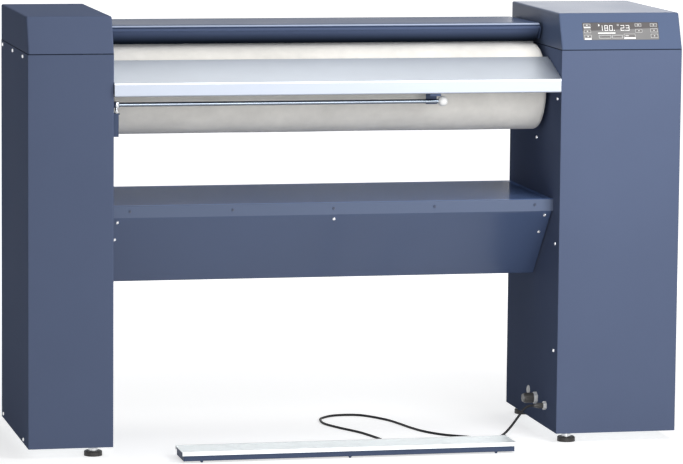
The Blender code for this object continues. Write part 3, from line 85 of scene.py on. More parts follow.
# Sizes shared with the frame
front_y = -0.179
left_x = -0.777
left_inner_x = -0.579
right_inner_x = 0.483
seam_z = 0.936
hood_height = 0.0845
hood_setback = 0.035
roller_x = -0.048
roller_y = 0.019
roller_z = 0.8353
roller_half = 0.523
cloth_radius = 0.1035


def place_camera():
    lens = bpy.data.cameras.new("front_camera")
    lens.lens = camera_lens
    lens.sensor_width = camera_sensor
    lens.sensor_fit = "HORIZONTAL"
    lens.clip_end = camera_reach
    camera = bpy.data.objects.new("front_camera", lens)
    scene.collection.objects.link(camera)
    heading = Matrix.Rotation(-camera_azimuth, 4, "Z")
    tip = Matrix.Rotation(pi / 2 - camera_elevation, 4, "X")
    roll = Matrix.Rotation(camera_roll, 4, "Z")
    camera.matrix_world = Matrix.Translation(camera_place) @ heading @ tip @ roll
    scene.camera = camera


place_camera()
scene.view_settings.view_transform = "Standard"


# Node helpers

def feed(tree, socket, value):
    """Links a socket to another, or gives it a plain value."""
    if isinstance(value, bpy.types.NodeSocket):
        tree.links.new(value, socket)
    else:
        socket.default_value = value


def add_node(tree, kind, inputs=None, **settings):
    """A node with its settings; its named or numbered inputs take sockets or values."""
    made = tree.nodes.new(kind)
    for key, value in settings.items():
        setattr(made, key, value)
    for key, value in (inputs or {}).items():
        feed(tree, made.inputs[key], value)
    return made


def mix_colour(tree, share, first, second, blend="MIX"):
    """A blend of two colours, which are inputs 6 and 7 of the node."""
    mixed = {0: share, 6: first, 7: second}
    return add_node(tree, "ShaderNodeMix", mixed, data_type="RGBA", blend_type=blend).outputs[2]


def scaled_range(tree, value, low, high, out_low, out_high):
    """The value, spread from one range to another and held at its ends."""
    ends = dict(enumerate((value, low, high, out_low, out_high)))
    return add_node(tree, "ShaderNodeMapRange", ends).outputs[0]


def maths(tree, operation, first, second=0.0):
    return add_node(tree, "ShaderNodeMath", {0: first, 1: second}, operation=operation).outputs[0]


def noise_of(tree, vector, scale, detail=2.0, roughness=0.5):
    given = {"Vector": vector, "Scale": scale, "Detail": detail, "Roughness": roughness}
    return add_node(tree, "ShaderNodeTexNoise", given).outputs["Fac"]


def parts_of(tree, vector):
    """The three parts of a vector."""
    return add_node(tree, "ShaderNodeSeparateXYZ", {0: vector}).outputs


def spread_noise(tree, cloudy, out_low, out_high):
    """Noise, spread over a range; nearly all of it lies between these two values."""
    return scaled_range(tree, cloudy, 0.3, 0.7, out_low, out_high)


def toned(tree, cloudy, tone):
    """A factor that noise moves up and down by the tone."""
    darker = maths(tree, "SUBTRACT", 1.0, tone)
    return spread_noise(tree, cloudy, darker, maths(tree, "ADD", 1.0, tone))


def shaded(tree, colour, factor):
    """The colour, made lighter or darker by a factor."""
    grey = add_node(tree, "ShaderNodeCombineColor", {0: factor, 1: factor, 2: factor})
    return mix_colour(tree, 1.0, colour, grey.outputs[0], "MULTIPLY")


# Shared effects, each a node group built once

NUMBER = "NodeSocketFloat"
COLOUR = "NodeSocketColor"
VECTOR = "NodeSocketVector"
speck_range = (0.97, 1.03)
slow_scale = 3.0
slow_detail = 3.0
skin_roughness_spread = 0.03
lines_scale = 20.0
lines_noise = (3.0, 0.6)
cloudy_scale = 5.0
lines_roughness_share = 0.6
slub_scale = 40.0
slub_detail = 4.0
stain_scale = 7.0
slub_height = 0.8
slub_range = (0.96, 1.03)
thread_range = (0.95, 1.03)


def start_group(name, inputs, outputs):
    """An empty node group with these sockets; inputs give name, kind and value."""
    tree = bpy.data.node_groups.new(name, "ShaderNodeTree")
    for label, kind, value in inputs:
        socket = tree.interface.new_socket(label, in_out="INPUT", socket_type=kind)
        socket.default_value = value
    for label, kind in outputs:
        tree.interface.new_socket(label, in_out="OUTPUT", socket_type=kind)
    given = tree.nodes.new("NodeGroupInput").outputs
    return tree, given, tree.nodes.new("NodeGroupOutput").inputs


def make_grain_group():
    """Fine-textured paint or moulded skin: slow tone changes and a fine grain."""
    tree, given, put = start_group(
        "surface_grain",
        [
            ("Vector", VECTOR, (0, 0, 0)),
            ("Colour", COLOUR, (0.5, 0.5, 0.5, 1)),
            ("Tone", NUMBER, 0.06),
            ("Roughness", NUMBER, 0.4),
            ("Grain", NUMBER, 900.0),
        ],
        [("Colour", COLOUR), ("Roughness", NUMBER), ("Height", NUMBER)],
    )
    slow = noise_of(tree, given["Vector"], slow_scale, slow_detail)
    fine = noise_of(tree, given["Vector"], given["Grain"])
    speck = spread_noise(tree, fine, *speck_range)
    factor = maths(tree, "MULTIPLY", toned(tree, slow, given["Tone"]), speck)
    spread = spread_noise(tree, slow, -skin_roughness_spread, skin_roughness_spread)
    feed(tree, put["Colour"], shaded(tree, given["Colour"], factor))
    feed(tree, put["Roughness"], maths(tree, "ADD", given["Roughness"], spread))
    feed(tree, put["Height"], fine)
    return tree


def make_drawn_group():
    """Drawn, brushed or turned metal: fine lines that run along one axis."""
    tree, given, put = start_group(
        "drawn_lines",
        [
            ("Vector", VECTOR, (0, 0, 0)),
            ("Stretch", VECTOR, (1, 60, 60)),
            ("Colour", COLOUR, (0.7, 0.7, 0.7, 1)),
            ("Tone", NUMBER, 0.08),
            ("Roughness", NUMBER, 0.3),
            ("Grain", NUMBER, lines_scale),
        ],
        [("Colour", COLOUR), ("Roughness", NUMBER), ("Height", NUMBER)],
    )
    drawn_out = add_node(
        tree, "ShaderNodeVectorMath", {0: given["Vector"], 1: given["Stretch"]}, operation="MULTIPLY",
    )
    lines = noise_of(tree, drawn_out.outputs[0], given["Grain"], *lines_noise)
    cloudy = noise_of(tree, given["Vector"], cloudy_scale, slow_detail)
    slow = spread_noise(tree, cloudy, *speck_range)
    factor = maths(tree, "MULTIPLY", toned(tree, lines, given["Tone"]), slow)
    rough = spread_noise(tree, lines, -lines_roughness_share, lines_roughness_share)
    spread = maths(tree, "MULTIPLY", rough, given["Tone"])
    feed(tree, put["Colour"], shaded(tree, given["Colour"], factor))
    feed(tree, put["Roughness"], maths(tree, "ADD", given["Roughness"], spread))
    feed(tree, put["Height"], lines)
    return tree


def make_weave_group():
    """Plain weave: two crossed sets of threads over and under each other, with slubs."""
    tree, given, put = start_group(
        "plain_weave",
        [
            ("Vector", VECTOR, (0, 0, 0)),
            ("Colour", COLOUR, (0.8, 0.77, 0.7, 1)),
            ("Tone", NUMBER, 0.08),
            ("Threads", NUMBER, 700.0),
        ],
        [("Colour", COLOUR), ("Height", NUMBER)],
    )
    turns = []
    for part in parts_of(tree, given["Vector"])[:2]:
        step = maths(tree, "MULTIPLY", part, given["Threads"])
        turns.append(maths(tree, "SINE", maths(tree, "MULTIPLY", step, pi)))
    crossing = maths(tree, "MULTIPLY", *turns)
    slub = noise_of(tree, given["Vector"], slub_scale, slub_detail)
    stain = noise_of(tree, given["Vector"], stain_scale, slow_detail)
    thread = scaled_range(tree, crossing, -1.0, 1.0, *thread_range)
    worn = maths(tree, "MULTIPLY", toned(tree, stain, given["Tone"]), thread)
    factor = maths(tree, "MULTIPLY", worn, spread_noise(tree, slub, *slub_range))
    feed(tree, put["Colour"], shaded(tree, given["Colour"], factor))
    feed(tree, put["Height"], maths(tree, "ADD", crossing, maths(tree, "MULTIPLY", slub, slub_height)))
    return tree


surface_grain = make_grain_group()
drawn_lines = make_drawn_group()
plain_weave = make_weave_group()


# Finishes

paint_grain = 1400.0
paint_tone = 0.03
paint_strength = 0.10
skin_relief = 0.0004
lines_relief = 0.0003
along_x = (1, 60, 60)
even = (30, 30, 30)


def dress(tree, shader, sockets):
    """Feeds the shader's sockets, each with a socket or a plain value."""
    for key, value in sockets.items():
        feed(tree, shader.inputs[key], value)


def start_finish(name, colour, roughness, metallic=0.0):
    """A material with its shader, and the vector of its own object's place."""
    made = bpy.data.materials.new(name)
    made.use_nodes = True
    made.diffuse_color = (*colour, 1)
    tree = made.node_tree
    shader = tree.nodes["Principled BSDF"]
    dress(tree, shader, {"Base Color": (*colour, 1), "Roughness": roughness, "Metallic": metallic})
    return made, tree, shader, add_node(tree, "ShaderNodeTexCoord").outputs["Object"]


def start_skin(name, colour, roughness, metallic=0.0, tone=paint_tone, grain=paint_grain):
    """A painted, moulded or cast finish begun: also the surface grain's outputs."""
    made, tree, shader, place = start_finish(name, colour, roughness, metallic)
    given = {"Vector": place, "Colour": (*colour, 1), "Tone": tone, "Roughness": roughness, "Grain": grain}
    skin = add_node(tree, "ShaderNodeGroup", given, node_tree=surface_grain).outputs
    return made, tree, shader, place, skin


def start_lines(name, colour, roughness, stretch, metallic=1.0, tone=0.06):
    """A drawn, brushed or turned metal begun: also the drawn lines' outputs."""
    made, tree, shader, place = start_finish(name, colour, roughness, metallic)
    given = {
        "Vector": place, "Stretch": stretch, "Colour": (*colour, 1), "Tone": tone,
        "Roughness": roughness, "Grain": lines_scale,
    }
    lines = add_node(tree, "ShaderNodeGroup", given, node_tree=drawn_lines).outputs
    return made, tree, shader, place, lines


def emboss(tree, shader, height, strength, distance):
    """Relief from a height, through a Bump node."""
    relief = {"Strength": strength, "Distance": distance, "Height": height}
    feed(tree, shader.inputs["Normal"], add_node(tree, "ShaderNodeBump", relief).outputs["Normal"])


def grained(
    name, colour, roughness, metallic=0.0, tone=paint_tone, grain=paint_grain, strength=0.15, specular=0.5,
):
    """Painted, moulded or cast: the surface grain with its relief."""
    made, tree, shader, _, skin = start_skin(name, colour, roughness, metallic, tone, grain)
    dress(tree, shader, {
        "Base Color": skin["Colour"], "Roughness": skin["Roughness"], "Specular IOR Level": specular,
    })
    emboss(tree, shader, skin["Height"], strength, skin_relief)
    return made


def drawn(name, colour, roughness, stretch, metallic=1.0, tone=0.06, strength=0.10):
    """Drawn, brushed or turned metal, with its lines along the unstretched axis."""
    made, tree, shader, _, lines = start_lines(name, colour, roughness, stretch, metallic, tone)
    dress(tree, shader, {"Base Color": lines["Colour"], "Roughness": lines["Roughness"]})
    emboss(tree, shader, lines["Height"], strength, lines_relief)
    return made


bar_coat = grained("bar_coat", (0.070, 0.095, 0.165), 0.50, specular=0.10)
apron_coat = grained("apron_coat", (0.078, 0.112, 0.212), 0.22, strength=0.05, specular=0.35)
screw_paint = grained("screw_paint", (0.060, 0.080, 0.140), 0.35, tone=0.04)
cast_iron = grained("cast_iron_skin", (0.16, 0.165, 0.175), 0.62, tone=0.10, grain=300.0, strength=0.5)
cast_alloy = grained("cast_alloy_skin", (0.60, 0.61, 0.62), 0.48, 0.8, tone=0.07, grain=350.0, strength=0.4)
black_moulding = grained("black_moulding", (0.020, 0.020, 0.023), 0.42, tone=0.08, grain=700.0)
white_moulding = grained("white_moulding", (0.84, 0.84, 0.83), 0.35, tone=0.02, grain=700.0)
gland_moulding = grained("gland_moulding", (0.055, 0.052, 0.050), 0.40, tone=0.10, grain=700.0)
grey_moulding = grained("grey_moulding", (0.22, 0.22, 0.22), 0.40, tone=0.06, grain=700.0)
board_lacquer = grained("board_lacquer", (0.03, 0.17, 0.08), 0.40, tone=0.10, grain=500.0)
sheath_rubber = grained(
    "sheath_rubber", (0.022, 0.022, 0.024), 0.55, tone=0.10, grain=1200.0, specular=0.15,
)
screw_steel = drawn("screw_steel", (0.92, 0.93, 0.94), 0.26, even, metallic=0.85)
turned_steel = drawn("turned_steel", (0.55, 0.56, 0.58), 0.35, even)
zinc_sheet = drawn("zinc_sheet", (0.60, 0.63, 0.66), 0.40, even, tone=0.09)
rail_chrome = drawn("rail_chrome", (0.19, 0.22, 0.26), 0.24, along_x, tone=0.03, strength=0.03)
treadle_alloy = drawn("treadle_alloy", (0.72, 0.75, 0.76), 0.36, along_x, tone=0.05)


# Finishes with a pattern of their own

line_edge = 0.0004
slate_colour = (0.104, 0.131, 0.212)
seam_half = 0.0010
seam_colour = (0.022, 0.030, 0.050, 1)
hood_colour = (0.062, 0.088, 0.160)
hood_roughness = 0.24
hood_specular = 0.004
hood_strength = 0.06
# The pale line along the trough hood's front fold is a painted highlight.
hood_highlight_z = (0.9842, 0.9868)
hood_highlight_y = 0.005
hood_highlight_colour = (0.42, 0.48, 0.62, 1)
guard_colour = (0.074, 0.100, 0.178)
guard_roughness = 0.42
guard_specular = 0.05
# The guard's darkening towards its lower edge is painted shade.
guard_painted_shade_z = (0.947, 0.969)
guard_painted_shade_colour = (0.006, 0.010, 0.018, 1)
guard_painted_shade_dulls = 0.3
table_colour = (0.56, 0.60, 0.655)
table_roughness = 0.32
table_metallic = 0.85
table_tone = 0.015
groove_pitch = 0.0032
groove_relief = (0.22, 0.0002)
lip_colour = (0.36, 0.39, 0.45, 1)
lip_depth = 0.002
lip_dulls = 0.25
# The pale line along the table's front fold is a painted highlight.
table_highlight_z = 0.8653
table_highlight_y = -0.1822
table_highlight_colour = (0.85, 0.88, 0.92, 1)
flange_colour = (0.135, 0.168, 0.254, 1)
# The shelf top's colour is painted light: lighter and bluer than the flange, making up for the roller's
# shadow on it.
shelf_top_lightened_colour = (0.132, 0.208, 0.430)
shelf_roughness = 0.24
shelf_specular = 0.006
hole_colour = (0.012, 0.016, 0.028, 1)
hole_pitch = 0.0047
hole_share = 0.28
hole_edge = 0.05
hole_dulls = 0.7
hole_relief = (0.6, 0.0006)
row_share = sin(pi / 3)
shelf_top_z = 0.5786
perforated_x = (-0.567, 0.471)
perforated_y = (-0.109, 0.270)
panel_colour = (0.17, 0.16, 0.15)
panel_roughness = (0.08, 0.14)
panel_tone = (0.0, 0.12)
panel_scale = 25.0
# The smoked cover's two bands, split along a leaning line, are a painted reflection.
lower_reflection_band = ((0.190, 0.187, 0.187, 1), (0.30, 0.295, 0.29, 1))
upper_reflection_band = ((0.096, 0.089, 0.090, 1), (0.135, 0.122, 0.120, 1))
reflection_band_z = 0.9603
reflection_band_lean = -0.035
unrolled_map = "unrolled"
cloth_roughness = 0.95
cloth_depth = 0.0005
cloth_gloss = {"Sheen Weight": 0.25, "Sheen Roughness": 0.6, "Specular IOR Level": 0.2}
knuckle_colour = (0.50, 0.52, 0.55)
knuckle_roughness = 0.25
washer_colour = (0.86, 0.86, 0.85, 1)
ear_washer_z = 0.8015
rubber_colour = (0.035, 0.032, 0.030)
rubber_roughness = 0.5
rubber_tone = 0.10
rubber_grain = 700.0
rubber_strength = 0.15
stem_colour = (0.80, 0.81, 0.82, 1)
stem_metallic = 0.8
stem_roughness = 0.3
foot_disc_top = 0.0117
ink_roughness = 0.30
ink_scale = 120.0
dim_share = 0.88


def paint_over(tree, shader, skin, share, colour, specular, strength=paint_strength, dulls=0.0):
    """Grained paint that turns to another colour, and duller, as the share goes to 1."""
    duller = maths(tree, "MULTIPLY", share, dulls)
    dress(tree, shader, {
        "Base Color": mix_colour(tree, share, skin["Colour"], colour),
        "Roughness": maths(tree, "ADD", skin["Roughness"], duller), "Specular IOR Level": specular,
    })
    emboss(tree, shader, skin["Height"], strength, skin_relief)


def make_slate_coat(name, colour, roughness, specular):
    """The casings' paint, with the dark joint line between each casing and its hood."""
    made, tree, shader, place, skin = start_skin(name, colour, roughness)
    off_seam = maths(tree, "ABSOLUTE", maths(tree, "SUBTRACT", parts_of(tree, place)[2], seam_z))
    joint = scaled_range(tree, off_seam, seam_half, seam_half + line_edge, 1.0, 0.0)
    paint_over(tree, shader, skin, joint, seam_colour, specular)
    return made


def make_hood_coat():
    """The trough hood's paint, with a painted highlight: a pale line along its front fold."""
    made, tree, shader, place, skin = start_skin("hood_coat", hood_colour, hood_roughness)
    _, y, z = parts_of(tree, place)
    low, high = hood_highlight_z
    over = scaled_range(tree, z, low - line_edge, low, 0.0, 1.0)
    under = scaled_range(tree, z, high, high + line_edge, 1.0, 0.0)
    ahead = maths(tree, "LESS_THAN", y, hood_highlight_y)
    # Painted highlight: a pale strip along the hood's front fold.
    line = maths(tree, "MULTIPLY", maths(tree, "MULTIPLY", over, under), ahead)
    paint_over(tree, shader, skin, line, hood_highlight_colour, hood_specular, hood_strength)
    return made


def make_guard_coat():
    """The finger guard's darker paint, with painted shade that deepens towards its lower edge over the nip.
    """
    made, tree, shader, place, skin = start_skin("guard_coat", guard_colour, guard_roughness)
    # Painted shade: the paint darkens towards the guard's lower edge.
    depth = scaled_range(tree, parts_of(tree, place)[2], *guard_painted_shade_z, 1.0, 0.0)
    paint_over(tree, shader, skin, depth, guard_painted_shade_colour, guard_specular, dulls=guard_painted_shade_dulls)
    return made


def make_table_alloy():
    """Bright sheet with fine rolled grooves along the table, a duller lip and a painted highlight along its
    fold.
    """
    made, tree, shader, place, lines = start_lines(
        "table_alloy", table_colour, table_roughness, along_x, table_metallic, table_tone,
    )
    _, y, z = parts_of(tree, place)
    grooves = maths(tree, "SINE", maths(tree, "MULTIPLY", y, 2 * pi / groove_pitch))
    behind_lip = scaled_range(tree, y, front_y - lip_depth, front_y, 0.0, 1.0)
    colour = mix_colour(tree, behind_lip, lip_colour, lines["Colour"])
    # Painted highlight: a pale band along the fold above the lip.
    over = maths(tree, "GREATER_THAN", z, table_highlight_z)
    fold = maths(tree, "MULTIPLY", over, maths(tree, "LESS_THAN", y, table_highlight_y))
    duller = scaled_range(tree, behind_lip, 0.0, 1.0, lip_dulls, 0.0)
    dress(tree, shader, {
        "Base Color": mix_colour(tree, fold, colour, table_highlight_colour),
        "Roughness": maths(tree, "ADD", lines["Roughness"], duller),
    })
    emboss(tree, shader, maths(tree, "MULTIPLY", grooves, behind_lip), *groove_relief)
    return made


def make_perforated_coat():
    """The shelf's paint, with staggered round holes over its flat top; painted light makes the top lighter
    than the flange.
    """
    made, tree, shader, place, skin = start_skin("perforated_coat", shelf_top_lightened_colour, shelf_roughness)
    x, y, z = parts_of(tree, place)
    row = maths(tree, "DIVIDE", y, hole_pitch * row_share)
    odd = maths(tree, "FLOORED_MODULO", maths(tree, "FLOOR", row), 2.0)
    column = maths(tree, "ADD", maths(tree, "DIVIDE", x, hole_pitch), maths(tree, "MULTIPLY", odd, 0.5))
    across = maths(tree, "SUBTRACT", maths(tree, "FRACT", column), 0.5)
    up = maths(tree, "SUBTRACT", maths(tree, "FRACT", row), 0.5)
    up = maths(tree, "MULTIPLY", up, row_share)
    away = maths(tree, "ADD", maths(tree, "MULTIPLY", across, across), maths(tree, "MULTIPLY", up, up))
    away = maths(tree, "SQRT", away)
    hole = scaled_range(tree, away, hole_share, hole_share + hole_edge, 1.0, 0.0)
    above = maths(tree, "GREATER_THAN", z, shelf_top_z - line_edge)
    for part, (low, high) in ((x, perforated_x), (y, perforated_y)):
        hole = maths(tree, "MULTIPLY", hole, maths(tree, "GREATER_THAN", part, low))
        hole = maths(tree, "MULTIPLY", hole, maths(tree, "LESS_THAN", part, high))
    hole = maths(tree, "MULTIPLY", hole, above)
    # Painted light: the flat top takes the lighter colour, the flange below it the darker one.
    coat = mix_colour(tree, above, flange_colour, skin["Colour"])
    duller = maths(tree, "MULTIPLY", hole, hole_dulls)
    dress(tree, shader, {
        "Base Color": mix_colour(tree, hole, coat, hole_colour),
        "Roughness": maths(tree, "ADD", skin["Roughness"], duller), "Specular IOR Level": shelf_specular,
    })
    emboss(tree, shader, maths(tree, "SUBTRACT", 1.0, hole), *hole_relief)
    return made


def make_panel_glass():
    """Smoked cover over the control board, with a painted reflection: a darker upper band and a paler lower
    one.
    """
    made, tree, shader, place = start_finish("panel_glass", panel_colour, panel_roughness[0])
    x, _, z = parts_of(tree, place)
    cloudy = noise_of(tree, place, panel_scale)
    # Painted reflection: darker above the leaning line, paler below it.
    lift = maths(tree, "ADD", z, maths(tree, "MULTIPLY", x, reflection_band_lean))
    reflection_band = scaled_range(tree, lift, reflection_band_z - line_edge, reflection_band_z + line_edge, 0.0, 1.0)
    tone = spread_noise(tree, cloudy, *panel_tone)
    lower, upper = (mix_colour(tree, tone, *shades) for shades in (lower_reflection_band, upper_reflection_band))
    dress(tree, shader, {
        "Base Color": mix_colour(tree, reflection_band, lower, upper),
        "Roughness": spread_noise(tree, cloudy, *panel_roughness),
    })
    return made


def make_cloth(name, colour, threads, tone, strength):
    """Woven or felted fabric, read from the piece's own unrolled map."""
    made, tree, shader, _ = start_finish(name, colour, cloth_roughness)
    unrolled = add_node(tree, "ShaderNodeUVMap", uv_map=unrolled_map).outputs[0]
    given = {"Vector": unrolled, "Colour": (*colour, 1), "Threads": threads, "Tone": tone}
    weave = add_node(tree, "ShaderNodeGroup", given, node_tree=plain_weave).outputs
    dress(tree, shader, {"Base Color": weave["Colour"], **cloth_gloss})
    emboss(tree, shader, weave["Height"], strength, cloth_depth)
    return made


def make_knuckle_steel():
    """Bright turned steel, and the white washer at the foot of the pin."""
    made, tree, shader, place, lines = start_lines(
        "knuckle_steel", knuckle_colour, knuckle_roughness, even,
    )
    washer = maths(tree, "LESS_THAN", parts_of(tree, place)[2], ear_washer_z)
    dress(tree, shader, {
        "Base Color": mix_colour(tree, washer, lines["Colour"], washer_colour),
        "Metallic": maths(tree, "SUBTRACT", 1.0, washer), "Roughness": lines["Roughness"],
    })
    return made


def make_foot_rubber():
    """Levelling foot: a dark rubber disc under a bright nut and stem."""
    made, tree, shader, place, skin = start_skin(
        "foot_rubber", rubber_colour, rubber_roughness, tone=rubber_tone, grain=rubber_grain,
    )
    metal = maths(tree, "GREATER_THAN", parts_of(tree, place)[2], foot_disc_top)
    dress(tree, shader, {
        "Base Color": mix_colour(tree, metal, skin["Colour"], stem_colour),
        "Metallic": maths(tree, "MULTIPLY", metal, stem_metallic),
        "Roughness": scaled_range(tree, metal, 0.0, 1.0, rubber_roughness, stem_roughness),
    })
    emboss(tree, shader, skin["Height"], rubber_strength, skin_relief)
    return made


def make_print_ink(name, colour, glow):
    """Print under the smoked cover, slightly uneven; the lit marks glow."""
    made, tree, shader, place = start_finish(name, colour, ink_roughness)
    dim = (*(part * dim_share for part in colour), 1)
    shade = mix_colour(tree, noise_of(tree, place, ink_scale), dim, (*colour, 1))
    dress(tree, shader, {"Base Color": shade, "Emission Color": shade, "Emission Strength": glow})
    return made


slate_coat = make_slate_coat("slate_coat", slate_colour, 0.50, 0.001)
right_hood_coat = make_slate_coat("right_hood_coat", (0.090, 0.120, 0.200), 0.30, 0.035)
guard_coat = make_guard_coat()
table_alloy = make_table_alloy()
hood_coat = make_hood_coat()
knuckle_steel = make_knuckle_steel()
foot_rubber = make_foot_rubber()
perforated_coat = make_perforated_coat()
panel_glass = make_panel_glass()
roller_linen = make_cloth("roller_linen", (0.81, 0.785, 0.735), 900.0, 0.07, 0.25)
roller_needlefelt = make_cloth("roller_needlefelt", (0.62, 0.59, 0.52), 260.0, 0.10, 0.6)
lit_print = make_print_ink("lit_print", (0.92, 0.92, 0.90), 0.35)
pale_print = make_print_ink("pale_print", (0.60, 0.60, 0.59), 0.0)
dark_print = make_print_ink("dark_print", (0.120, 0.112, 0.110), 0.0)


# Making pieces

merge_distance = 0.00001
crease_angle = radians(35)
turned_sides = 32
sleeve_sides = 24
ball_sides = 40


def new_verts(shape, before):
    return [vert for vert in shape.verts if vert not in before]


def finish_piece(name, shape, material, body, stands_for=None):
    """A finished piece from a bmesh whose place is in its vertices, riding on a body."""
    bmesh.ops.remove_doubles(shape, verts=shape.verts, dist=merge_distance)
    bmesh.ops.recalc_face_normals(shape, faces=shape.faces)
    data = bpy.data.meshes.new(name)
    shape.to_mesh(data)
    shape.free()
    for face in data.polygons:
        face.use_smooth = True
    data.set_sharp_from_angle(angle=crease_angle)
    data.materials.append(material)
    piece = bpy.data.objects.new(name, data)
    scene.collection.objects.link(piece)
    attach(piece, body)
    if stands_for:
        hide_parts(stands_for)
    return piece


def stand_at(shape, before, place, facing):
    """Turns what was added to a shape from +Z to its facing, and moves it to its place."""
    turn = Vector(facing).to_track_quat("Z", "Y").to_matrix().to_4x4()
    stand = Matrix.Translation(Vector(place)) @ turn
    bmesh.ops.transform(shape, matrix=stand, verts=new_verts(shape, before))


def spin_line(shape, points, axis, sides, closed=False):
    """Turns a line of points all the way round an axis through the origin."""
    line = [shape.verts.new(point) for point in points]
    ends = line[1:] + line[:1] if closed else line[1:]
    edges = [shape.edges.new(pair) for pair in zip(line, ends)]
    bmesh.ops.spin(
        shape, geom=line + edges, cent=(0, 0, 0), axis=axis, angle=2 * pi, steps=sides, use_merge=True,
    )


def add_turned(shape, profile, place, facing, sides):
    """Adds a turned body: the profile gives radius and height along the way it faces."""
    before = set(shape.verts)
    spin_line(shape, [(radius, 0, height) for radius, height in profile], (0, 0, 1), sides)
    stand_at(shape, before, place, facing)


def add_plate(shape, low, high, matrix, corner):
    """Adds a thin plate with rounded corners between two corners of a matrix's own space."""
    before = set(shape.verts)
    bmesh.ops.create_cube(shape, size=1)
    made = new_verts(shape, before)
    size = [top - bottom for bottom, top in zip(low, high)]
    middle = [(top + bottom) / 2 for bottom, top in zip(low, high)]
    bmesh.ops.scale(shape, vec=size, verts=made)
    bmesh.ops.translate(shape, vec=middle, verts=made)
    upright = [
        edge for edge in shape.edges
        if edge.verts[0] not in before and abs(edge.verts[0].co.z - edge.verts[1].co.z) > size[2] / 2
    ]
    bmesh.ops.bevel(
        shape, geom=upright, offset=corner, segments=3, profile=0.5, affect="EDGES", material=-1,
    )
    bmesh.ops.transform(shape, matrix=matrix, verts=new_verts(shape, before))


# The cord, from the small gland over the floor into the foot bar

cord_ring_steps = 4
cord_steps = 16


def make_cord():
    """A curve through every point of the route, its handles along each point's neighbours."""
    curve = bpy.data.curves.new("bar_cord", "CURVE")
    curve.dimensions = "3D"
    curve.bevel_depth = cord_radius
    curve.bevel_resolution = cord_ring_steps
    curve.resolution_u = cord_steps
    curve.use_fill_caps = True
    points = [Vector(point) for point in cord_route]
    spline = curve.splines.new("BEZIER")
    spline.bezier_points.add(len(points) - 1)
    around = [points[0] * 2 - points[1], *points, points[-1] * 2 - points[-2]]
    for index, knot in enumerate(spline.bezier_points):
        pull = (around[index + 2] - around[index]) / 6
        knot.handle_left_type = "FREE"
        knot.handle_right_type = "FREE"
        knot.co = points[index]
        knot.handle_left = points[index] - pull
        knot.handle_right = points[index] + pull
    curve.materials.append(sheath_rubber)
    cord = bpy.data.objects.new("bar_cord", curve)
    scene.collection.objects.link(cord)
    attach(cord, "root")
    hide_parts("footbar_cord")


# The roller's cloth and the padding under it

cloth_thickness = 0.0012
cloth_slack = 0.0006
cloth_corner = 0.012
cloth_corner_steps = 8
cloth_tuck = 0.020
cloth_rows = 150
cloth_sides = 144
felt_thickness = 0.0115
felt_outer = 0.1005
felt_end_gap = 0.0035
felt_edge = felt_thickness * 0.8
felt_rows = 24
felt_sides = 72
# Drag waves: steps along the roller, sway and reach round it, share of the whole
drag_waves = ((5, 0.8, 2.2, 0.65), (16, 2.5, 3.5, 0.35))
drag_gain = 1.6


def around_roller(shape):
    bmesh.ops.translate(shape, vec=(roller_x, roller_y, roller_z), verts=shape.verts)


def write_unrolled_map(data, radius):
    """The piece's own map in metres: along the roller, and round it."""
    layer = data.uv_layers.new(name=unrolled_map)
    for face in data.polygons:
        middle = atan2(face.center.y - roller_y, face.center.z - roller_z)
        for loop_index in face.loop_indices:
            point = data.vertices[data.loops[loop_index].vertex_index].co
            across, up = point.y - roller_y, point.z - roller_z
            turn = atan2(across, up)
            while turn - middle > pi:
                turn -= 2 * pi
            while turn - middle < -pi:
                turn += 2 * pi
            reach = (across ** 2 + up ** 2) ** 0.5
            layer.data[loop_index].uv = (point.x + (radius - reach), turn * radius)


def drag_wave(along, turn):
    """The slow and the fine wave that ironing drags into the cloth, from -1 to 1."""
    wave = 0
    for steps, sway, reach, share in drag_waves:
        swept = Vector((along * steps + sway * sin(turn), reach * cos(turn), reach * sin(turn)))
        wave += share * noise.noise(swept)
    return max(-1.0, min(1.0, drag_gain * wave))


def make_roller_cover():
    """The cloth: a stretched sleeve with faint drag lines, rolled in over both ends."""
    outer = cloth_radius - cloth_slack - cloth_thickness / 2
    curl = cloth_corner - cloth_thickness / 2
    half = roller_half - cloth_thickness / 2
    bend = [
        (half - curl + curl * sin(turn), outer - curl + curl * cos(turn))
        for turn in [pi / 2 * index / cloth_corner_steps for index in range(cloth_corner_steps + 1)]
    ]
    right = bend + [(half, outer - curl - (cloth_tuck - cloth_corner) * share) for share in (0.5, 1.0)]
    left = [(-along, radius) for along, radius in reversed(right)]
    span = 2 * (half - curl)
    flat = [(-half + curl + span * index / cloth_rows, outer) for index in range(1, cloth_rows)]
    shape = bmesh.new()
    points = [(along, 0, radius) for along, radius in left + flat + right]
    spin_line(shape, points, (1, 0, 0), cloth_sides)
    for vert in shape.verts:
        along, across, up = vert.co
        reach = (across ** 2 + up ** 2) ** 0.5
        if reach < outer - curl:
            continue
        pull = 1 + cloth_slack * drag_wave(along, atan2(across, up)) / reach
        vert.co = Vector((along, across * pull, up * pull))
    around_roller(shape)
    cover = finish_piece("roller_cover", shape, roller_linen, "roller", "roller_cloth")
    write_unrolled_map(cover.data, outer)
    wall = cover.modifiers.new("cloth_wall", "SOLIDIFY")
    wall.thickness = cloth_thickness
    wall.offset = 0


